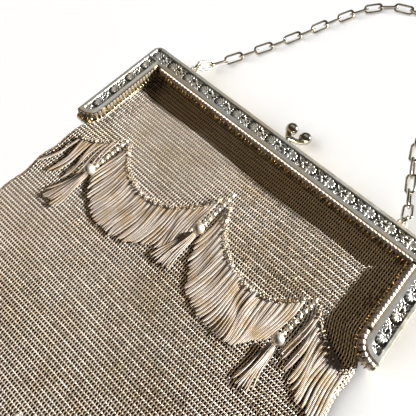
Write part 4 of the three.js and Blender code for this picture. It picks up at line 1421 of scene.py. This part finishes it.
@dataclass(frozen=True)
class Garland:
    """One row of fringe: swags of strands, and a bead string, ball and tassel at each peak."""

    row: str
    top: float
    sheet: BagSheet
    spacing: float = 53.5
    shift: float = -1.0
    side_drop: float = 12.2
    depth: float = 35.0
    strand: float = 22.5
    strand_pitch: float = 1.05
    strand_width: float = 1.5
    strand_height: float = 0.42
    seat: float = 0.0
    loop_pitch: float = 0.75
    beads: int = 7
    bead: float = 1.0
    bead_pitch: float = 2.95
    bead_start: float = 3.9
    string: float = 22.65
    ball: float = 2.5
    tassel: float = 19.0
    tassel_width: float = 5.2
    tassel_strands: int = 13
    tassel_strand_width: float = 0.85
    tassel_strand_height: float = 0.55
    tassel_wave: float = 0.6
    strand_wave: float = 0.85
    strand_steps: int = 14
    loop_radius: float = 0.6
    loop_wire: float = 0.18
    bead_link_radius: float = 0.42
    bead_link_wire: float = 0.16

    def peaks(self) -> list[Peak]:
        """The three peaks, from left to right."""
        leans = (("left", -1, -1, -9), ("centre", 0, -1, -7), ("right", 1, -6, -1))
        return [Peak(side, self.shift + across * self.spacing, -self.top - abs(across) * self.side_drop,
                     string, tassel) for side, across, string, tassel in leans]

    def swag_line(self, start: Peak, end: Peak) -> Line:
        """The line between two peaks that strands hang from.

        Args:
            start: The left peak.
            end: The right peak.

        Returns:
            The line, as y at every x.
        """
        high = max(start.y, end.y)
        width = end.x - start.x

        def pull(peak: Peak) -> tuple[float, float]:
            """How far down and how far along a peak draws the curve."""
            return (0.94, 0.13) if peak.y == high else (1.15, 0.25)

        t = np.linspace(0, 1, 61)[:, None]
        knots = np.array([
            (start.x, start.y), (start.x + width * pull(start)[1], high - self.depth * pull(start)[0]),
            (end.x - width * pull(end)[1], high - self.depth * pull(end)[0]), (end.x, end.y),
        ])
        curve = (knots[0] * (1 - t) ** 3 + 3 * knots[1] * t * (1 - t) ** 2
                 + 3 * knots[2] * t ** 2 * (1 - t) + knots[3] * t ** 3)
        return lambda x: np.interp(x, curve[:, 0], curve[:, 1])

    def half_line(self, peak: Peak) -> Line:
        """The line from a side peak to the bag's edge.

        Args:
            peak: The peak.

        Returns:
            The line, as y at every x.
        """
        edge = math.copysign(self.sheet.half_width - self.sheet.edge_round, peak.x)
        t = np.linspace(0, 1, 41)[:, None]
        knots = np.array([(peak.x, peak.y), (peak.x + (edge - peak.x) * 0.25, peak.y - self.depth * 0.42),
                          (edge, peak.y - self.depth * 0.5)])
        curve = knots[0] * (1 - t) ** 2 + 2 * knots[1] * t * (1 - t) + knots[2] * t ** 2
        curve = curve[np.argsort(curve[:, 0])]
        return lambda x: np.interp(x, curve[:, 0], curve[:, 1])

    def strands(self, name: str, tops: np.ndarray, turns: np.ndarray, lengths: np.ndarray, width: float,
                tall: float, lifts: np.ndarray, wave: float) -> Piece:
        """Strands that lie on the sheet side by side, as one piece.

        Args:
            name: The piece's name.
            tops: The x and y of each strand's top.
            turns: How far each strand leans from straight down, in radians.
            lengths: Each strand's length.
            width: A strand's width.
            tall: A strand's height.
            lifts: How far each strand lies above the seat.
            wave: How far a strand strays to the side.

        Returns:
            The piece, in the row frame.
        """
        count, steps = len(tops), self.strand_steps
        bm = bmesh.new()
        bmesh.ops.create_circle(bm, segments=8, radius=1.0, cap_ends=True,
                                matrix=Matrix.Rotation(math.pi / 2, 4, "X"))
        edges = bm.edges[:]
        for _ in range(steps):
            grown = bmesh.ops.extrude_edge_only(bm, edges=edges)["geom"]
            edges = edges_of(grown)
            bmesh.ops.translate(bm, verts=verts_of(grown), vec=(0, 1 / steps, 0))
        bmesh.ops.edgeloop_fill(bm, edges=edges)
        bmesh.ops.recalc_face_normals(bm, faces=bm.faces)
        piece = repeated(as_object(name, bm, 75.0), [(count, (0, 0, 0))])
        local = coordinates(piece.data).reshape(count, -1, 3)
        t = np.clip(local[..., 1], 0.0, 1.0)
        phase = together(CHANCE.normal(0, 6, (3, count)), 4)[..., None]
        bend = together(CHANCE.normal(0, 2, (2, count)), 3)[..., None] + CHANCE.normal(0, 0.2, (2, count, 1))
        drift = wave * t * (0.8 * bend[0] * t + np.sin(t * 4.2 + phase[0]) - np.sin(phase[0]))
        twist = 0.5 * bend[1] * np.sin(t * 3.0 + phase[1]) * np.minimum(1, t * 3)
        taper = 0.55 + 0.45 * smoothstep(t, 0, 0.12) - 0.6 * smoothstep(t, 0.9, 1.0)
        wide = local[..., 0] * width / 2 * taper
        high = local[..., 2] * tall / 2 * taper
        side = wide * np.cos(twist) - high * np.sin(twist)
        up = wide * np.sin(twist) + high * np.cos(twist)
        reach = t * lengths[:, None]
        cos, sin = np.cos(turns)[:, None], np.sin(turns)[:, None]
        x = tops[:, :1] + sin * reach + cos * (drift + side)
        y = tops[:, 1:] - cos * reach + sin * (drift + side)
        lie = lifts[:, None] * (1 - t) ** 1.6 + 0.08 * np.sin(t * 5 + phase[2])
        above = self.seat + tall * 0.5 + np.maximum(lie, 0) + up + 0.12 * np.abs(np.sin(twist))
        points = self.sheet.on_top(x, y, np.maximum(above, 0.12))
        move_to(piece.data, to_row_frame(points.reshape(-1, 3)))
        piece.data.flip_normals()
        return piece

    def swag(self, name: str, line: Line, start: float, end: float,
             fan: float = 0.0, tangle: float = 0.0) -> Piece:
        """One swag between two places along X.

        Args:
            name: The piece's name.
            line: The line that its strands hang from, as y at every x.
            start: Where it begins.
            end: Where it ends.
            fan: How far its first strand leans, in radians; the last leans less.
            tangle: How loosely its strands lie, from 0 to 1.

        Returns:
            The piece.
        """
        count = max(4, int((end - start) / self.strand_pitch / (1 + 0.3 * tangle)))
        x = np.linspace(start + 0.7, end - 0.7, count)
        tops = np.column_stack([x, line(x) + 0.4])
        turns = together(CHANCE.normal(0.0, 0.05, count), 3) + CHANCE.normal(0.0, 0.01, count)
        turns += fan * np.linspace(1.0, 0.4, count) + CHANCE.normal(0.0, 0.07, count) * tangle
        lengths = self.strand * (1 + 0.02 * CHANCE.normal(0, 1, count)).clip(0.95, 1.04)
        lifts = 0.16 * (np.arange(count) % 2) + np.abs(together(CHANCE.normal(0, 0.5, count), 1.5))
        return self.strands(name, tops, turns, lengths, self.strand_width * (1 - 0.15 * tangle),
                            self.strand_height, lifts, self.strand_wave + 0.9 * tangle)

    def along(self, line: Line, start: float, end: float) -> np.ndarray:
        """Places of two rows of loops along a swag's line, evenly spaced on its length.

        Args:
            line: The swag's line, as y at every x.
            start: The x of the first loop.
            end: Where the line ends along X.

        Returns:
            Rows of x, y and the height above the sheet.
        """
        x = np.linspace(start, end, 200)
        y = line(x)
        way = np.concatenate([[0], np.cumsum(np.hypot(np.diff(x), np.diff(y)))])
        stops = np.arange(0, way[-1], self.loop_pitch)
        row = np.arange(len(stops)) % 2
        return np.column_stack([np.interp(stops, way, x), np.interp(stops, way, y) + 0.9 - 1.1 * row,
                                0.4 + 0.3 * row])

    def loops(self, name: str, places: np.ndarray, radius: float, wire: float) -> Piece:
        """Small wire rings at places on the sheet, each leaning its own way.

        Args:
            name: The piece's name.
            places: Rows of x, y and the height above the sheet.
            radius: A ring's radius.
            wire: The radius of its wire.

        Returns:
            The rings as one piece.
        """
        piece = as_object(name, ring_shape(radius, wire, 8, 4), 180.0)
        repeated(piece, [(len(places), (0, 0, 0))])
        rings = coordinates(piece.data).reshape(len(places), -1, 3)
        for ring, (x, y, above) in zip(rings, places):
            turn = np.array(Matrix.Rotation(CHANCE.uniform(-0.9, 0.9), 3, "Y")
                            @ Matrix.Rotation(CHANCE.uniform(-0.5, 0.5), 3, "X"))
            z = float(self.sheet.height(np.array(x), np.array(y))) + above
            ring[:] = ring @ turn + (x, y, z)
        move_to(piece.data, to_row_frame(rings.reshape(-1, 3)))
        return piece

    def bead_string(self, peak: Peak) -> Piece:
        """The seed beads of one peak.

        Args:
            peak: The peak.

        Returns:
            The beads as one piece.
        """
        bm = bmesh.new()
        for i in range(self.beads):
            x, y = peak.down(self.bead_start + self.bead_pitch * i, peak.string_lean)
            z = float(self.sheet.height(np.array(x), np.array(y))) + self.seat + self.bead
            bmesh.ops.create_uvsphere(bm, u_segments=14, v_segments=9, radius=self.bead,
                                      matrix=Matrix.Translation((x, y, z)))
        brought_home(bm)
        return as_object(f"{self.row}_seed_beads_{peak.side}", bm, 180.0)

    def ball_centre(self, peak: Peak) -> Vector:
        """The middle of the ball below a bead string."""
        x, y = peak.down(self.string + self.ball + self.seat, peak.string_lean)
        return Vector((x, y, float(self.sheet.height(np.array(x), np.array(y))) + self.seat + self.ball))

    def ball_piece(self, peak: Peak) -> Piece:
        """The polished ball below the beads.

        Args:
            peak: The peak.

        Returns:
            The ball.
        """
        bm = bmesh.new()
        lay = Matrix.Translation(self.ball_centre(peak)) @ Matrix.Rotation(math.pi / 2, 4, "X")
        bmesh.ops.create_uvsphere(bm, u_segments=36, v_segments=20, radius=self.ball, matrix=lay)
        brought_home(bm)
        return as_object(f"{self.row}_polished_ball_{peak.side}", bm, 180.0)

    def tassel_piece(self, peak: Peak) -> Piece:
        """The tassel's strands, which fan out from the ball in two layers.

        Args:
            peak: The peak.

        Returns:
            The tassel as one piece.
        """
        count = self.tassel_strands
        centre = self.ball_centre(peak)
        lean = math.radians(peak.tassel_lean)
        share = np.linspace(-1, 1, count)
        order = np.arange(count)
        fan = math.atan2(self.tassel_width / 2, self.tassel) * share
        turns = lean + fan + CHANCE.normal(0, 0.03, count)
        away = self.ball + self.seat
        tops = np.column_stack([centre.x + np.sin(lean) * away + np.cos(lean) * share * 1.1,
                                centre.y - np.cos(lean) * away + np.sin(lean) * share * 1.1])
        lifts = 0.5 + 0.8 * np.cos(share * 1.4) * (order % 2) + CHANCE.uniform(0, 0.3, count)
        lengths = self.tassel * (1 + 0.05 * CHANCE.normal(0, 1, count)).clip(0.9, 1.04)
        return self.strands(f"{self.row}_tassel_strands_{peak.side}", tops, turns, lengths,
                            self.tassel_strand_width, self.tassel_strand_height, lifts, self.tassel_wave)

    def build(self) -> list[tuple[Piece, Slot, list[str]]]:
        """Makes the whole row.

        Returns:
            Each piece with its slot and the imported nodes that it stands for.
        """
        left, centre, right = self.peaks()
        edge = self.sheet.half_width - self.sheet.edge_round
        spans = [
            ("half_swag_left", self.half_line(left), -edge + 4.2, left.x - 2.2, -0.13, 1.0),
            ("swag_left", self.swag_line(left, centre), left.x + 2.0, centre.x - 2.6, 0.0, 0.0),
            ("swag_right", self.swag_line(centre, right), centre.x + 2.0, right.x - 3.2, 0.0, 0.0),
            ("half_swag_right", self.half_line(right), right.x + 2.0, edge, 0.0, 0.3),
        ]
        made = []
        for name, line, start, end, fan, tangle in spans:
            piece = self.swag(f"{self.row}_{name}_strands", line, start, end, fan, tangle)
            made.append((piece, Slot.FRINGE, [f"{self.row}_{name}"]))
            places = self.along(line, start + 0.4, end)
            loops = self.loops(f"{self.row}_{name}_loops", places, self.loop_radius, self.loop_wire)
            made.append((loops, Slot.MESH, []))
        for peak in (left, centre, right):
            made.append((self.bead_string(peak), Slot.POLISHED, [f"{self.row}_bead_string_{peak.side}"]))
            gaps = [peak.down(self.bead_start + self.bead_pitch * (i - 0.5), peak.string_lean)
                    for i in range(self.beads + 1)]
            places = np.array([(x, y, self.bead * 0.35) for x, y in gaps])
            links = self.loops(f"{self.row}_bead_links_{peak.side}", places, self.bead_link_radius,
                               self.bead_link_wire)
            made.append((links, Slot.MESH, []))
            made.append((self.ball_piece(peak), Slot.POLISHED, [f"{self.row}_ball_{peak.side}"]))
            made.append((self.tassel_piece(peak), Slot.FRINGE, [f"{self.row}_tassel_{peak.side}"]))
        return made

    def dress(self, made: list[tuple[Piece, Slot, list[str]]],
              finishes: dict[Slot, bpy.types.Material]) -> None:
        """Gives each piece the finish of its slot."""
        for piece, slot, nodes in made:
            finish_piece(piece, [finishes[slot]], nodes)


@dataclass(frozen=True)
class Studio:
    """The camera, a pale floor, a low key light and soft fill."""

    eye: Triple = (36.34, -58.92, 163.30)
    look: Triple = (-0.24594, 0.30420, -0.92031)
    up: Triple = (-0.62588, 0.67516, 0.39042)
    lens: float = 34.29
    key_turn: float = 45.0
    key_height: float = 13.5
    key_power: float = 22.0
    key_size: float = 2.5
    softbox_place: Triple = (-0.23, 0.5, 1.0)
    softbox_size: tuple[float, float] = (1.5, 0.9)
    softbox_glow: float = 0.42
    mesh_power: float = 17.6
    key_colour: Triple = (1.0, 0.96, 0.91)
    bounce: float = 1.3
    bounce_turn: float = 190.0
    bounce_height: float = 25.0
    bounce_size: float = 10.0
    bounce_colour: Triple = (1.0, 0.72, 0.42)
    fill: float = 0.07
    fill_colour: Triple = (1.0, 0.74, 0.46)
    floor_glow: float = 0.36
    floor_light: float = 6.0
    wash_height: float = 36.0
    wash_size: float = 55.0
    floor_size: float = 1.6

    def camera(self) -> None:
        """Sets the camera at the photograph's place and angle."""
        data = bpy.data.cameras.new("camera")
        data.lens = self.lens
        data.sensor_width = 36.0
        data.clip_start = 0.001
        camera = bpy.data.objects.new("camera", data)
        bpy.context.scene.collection.objects.link(camera)
        look, up = Vector(self.look).normalized(), Vector(self.up).normalized()
        axes = Matrix((look.cross(up), up, -look)).transposed().to_4x4()
        camera.matrix_world = Matrix.Translation(Vector(self.eye) * MM) @ axes
        bpy.context.scene.camera = camera

    def floor(self) -> Piece:
        """Lays the pale floor.

        Returns:
            The floor.
        """
        bm = bmesh.new()
        bmesh.ops.create_grid(bm, x_segments=1, y_segments=1, size=self.floor_size)
        bmesh.ops.translate(bm, verts=bm.verts, vec=(0, 0, -0.0001))
        floor = as_object("floor", bm)
        material = bpy.data.materials.new("pale_floor")
        material.use_nodes = True
        shader = material.node_tree.nodes["Principled BSDF"]
        shader.inputs["Base Color"].default_value = (0.5, 0.5, 0.5, 1)
        shader.inputs["Roughness"].default_value = 0.9
        shader.inputs["Specular IOR Level"].default_value = 0.0
        shader.inputs["Emission Color"].default_value = (1, 1, 1, 1)
        shader.inputs["Emission Strength"].default_value = self.floor_glow
        floor.data.materials.append(material)
        return floor

    def sun(self, name: str, turn: float, height: float, energy: float, size: float,
            colour: Triple = (1, 1, 1)) -> Piece:
        """Sets up a light from far away.

        Args:
            name: The light's name.
            turn: Its direction from +X towards +Y, in degrees.
            height: Its height over the floor, in degrees.
            energy: Its strength.
            size: How wide it looks, in degrees.
            colour: Its colour.

        Returns:
            The light.
        """
        data = bpy.data.lights.new(name, "SUN")
        data.energy = energy
        data.color = colour
        data.angle = math.radians(size)
        lamp = bpy.data.objects.new(name, data)
        bpy.context.scene.collection.objects.link(lamp)
        lift = Matrix.Rotation(math.radians(90 - height), 4, "Y")
        lamp.matrix_world = Matrix.Rotation(math.radians(turn), 4, "Z") @ lift
        return lamp

    def softbox(self) -> Piece:
        """Hangs the soft box that the flat rims mirror.

        Returns:
            The light.
        """
        data = bpy.data.lights.new("softbox", "AREA")
        data.shape = "RECTANGLE"
        data.size, data.size_y = self.softbox_size
        data.energy = self.softbox_glow * math.pi * data.size * data.size_y
        lamp = bpy.data.objects.new("softbox", data)
        bpy.context.scene.collection.objects.link(lamp)
        lamp.matrix_world = Matrix.Translation(self.softbox_place)
        return lamp

    @staticmethod
    def share(lamp: Piece, pieces: Sequence[Piece], state: str) -> None:
        """Flags a light off these pieces, or keeps it for them alone.

        Args:
            lamp: The light.
            pieces: The pieces that the flag is about.
            state: EXCLUDE or INCLUDE.
        """
        lamp.light_linking.receiver_collection = bpy.data.collections.new(f"{lamp.name}_lights")
        Studio.flag(lamp.light_linking.receiver_collection, pieces, state)

    @staticmethod
    def flag(group: bpy.types.Collection, pieces: Sequence[Piece], state: str) -> None:
        """Adds pieces to a light's group, and flags the whole group.

        Args:
            group: What a light falls on, or what shades it.
            pieces: The pieces.
            state: EXCLUDE or INCLUDE.
        """
        for piece in pieces:
            group.objects.link(piece)
        for entry in group.collection_objects:
            entry.light_linking.link_state = state

    def key_light(self, name: str, power: float) -> Piece:
        """Sets up a light that shines in the key's direction."""
        return self.sun(name, self.key_turn, self.key_height, power, self.key_size, self.key_colour)

    def light_parts(self, softbox: Piece, key: Piece, bag: list[Piece],
                    links: Piece, beads: list[Piece]) -> None:
        """Lights the mesh more strongly than the rest, and keeps the balls' long shadows off it.

        Args:
            softbox: The soft box, which is flagged off the mesh.
            key: The key light.
            bag: The pieces of the mesh.
            links: The links between the frame and the mesh.
            beads: The balls and beads that cast no shadow.
        """
        self.share(softbox, bag, "EXCLUDE")
        second = self.key_light("mesh_key", self.mesh_power)
        self.share(second, bag, "INCLUDE")
        bounce = self.sun("mesh_bounce", self.bounce_turn, self.bounce_height, self.bounce, self.bounce_size,
                          self.bounce_colour)
        self.share(bounce, [*bag, links], "INCLUDE")
        shades = bpy.data.collections.new("key_shades")
        self.flag(shades, beads, "EXCLUDE")
        for lamp in (key, second):
            lamp.light_linking.blocker_collection = shades

    def build(self) -> tuple[Piece, Piece]:
        """Sets up the whole studio.

        Returns:
            The soft box and the key light.
        """
        self.camera()
        floor = self.floor()
        key = self.key_light("key", self.key_power)
        self.share(key, [floor], "EXCLUDE")
        wash = self.sun("floor_wash", self.key_turn + 180, self.wash_height, self.floor_light, self.wash_size)
        self.share(wash, [floor], "INCLUDE")
        world = bpy.data.worlds.new("studio")
        world.use_nodes = True
        world.node_tree.nodes["Background"].inputs["Color"].default_value = (*self.fill_colour, 1)
        world.node_tree.nodes["Background"].inputs["Strength"].default_value = self.fill
        bpy.context.scene.world = world
        bpy.context.scene.view_settings.view_transform = "Standard"
        return self.softbox(), key


def main() -> None:
    """Builds the studio and every sub-assembly in order."""
    logging.basicConfig(level=logging.INFO, format="%(name)s: %(message)s")
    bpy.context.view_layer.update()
    studio = Studio()
    softbox, key = studio.build()
    polish = WornSilver("polished_silver", (0.58, 0.56, 0.51), (0.52, 0.43, 0.28), patch=7.0, warmth=0.3,
                        roughness=0.13, grain=0.003).material()
    bead = WornSilver("bead_silver", (0.72, 0.69, 0.63), (0.70, 0.60, 0.42), patch=7.0, warmth=0.3,
                      roughness=0.38, grain=0.006, metallic=0.85).material()
    fringe = WornSilver("fringe_wire", (0.385, 0.34, 0.305), (0.33, 0.25, 0.16), patch=6.0, warmth=0.5,
                        roughness=0.6, grain=0.03, metallic=0.5, ribs=0.5, rib_depth=0.09).material()
    loop = WornSilver("loop_wire", (0.46, 0.42, 0.37), (0.40, 0.31, 0.19), roughness=0.5).material()
    sheet = BagSheet()
    mesh = RingMesh(sheet)
    bag = mesh.build()
    mesh.dress(bag)
    front = FrameFront(ReliefBand())
    plate, strip, links = front.build()
    front.dress([plate, strip, links])
    for part in (Clasp(), Chain()):
        part.dress(part.build(), polish)
    beads = []
    for row, top in (("upper", 33.2), ("lower", 147.2)):
        garland = Garland(row, top, sheet)
        made = garland.build()
        garland.dress(made, {Slot.POLISHED: bead, Slot.FRINGE: fringe, Slot.MESH: loop})
        beads += [piece for piece, slot, _ in made if slot is Slot.POLISHED]
    studio.light_parts(softbox, key, bag, links, beads)
    log.info("all pieces are in place")


if __name__ == "__main__":
    main()
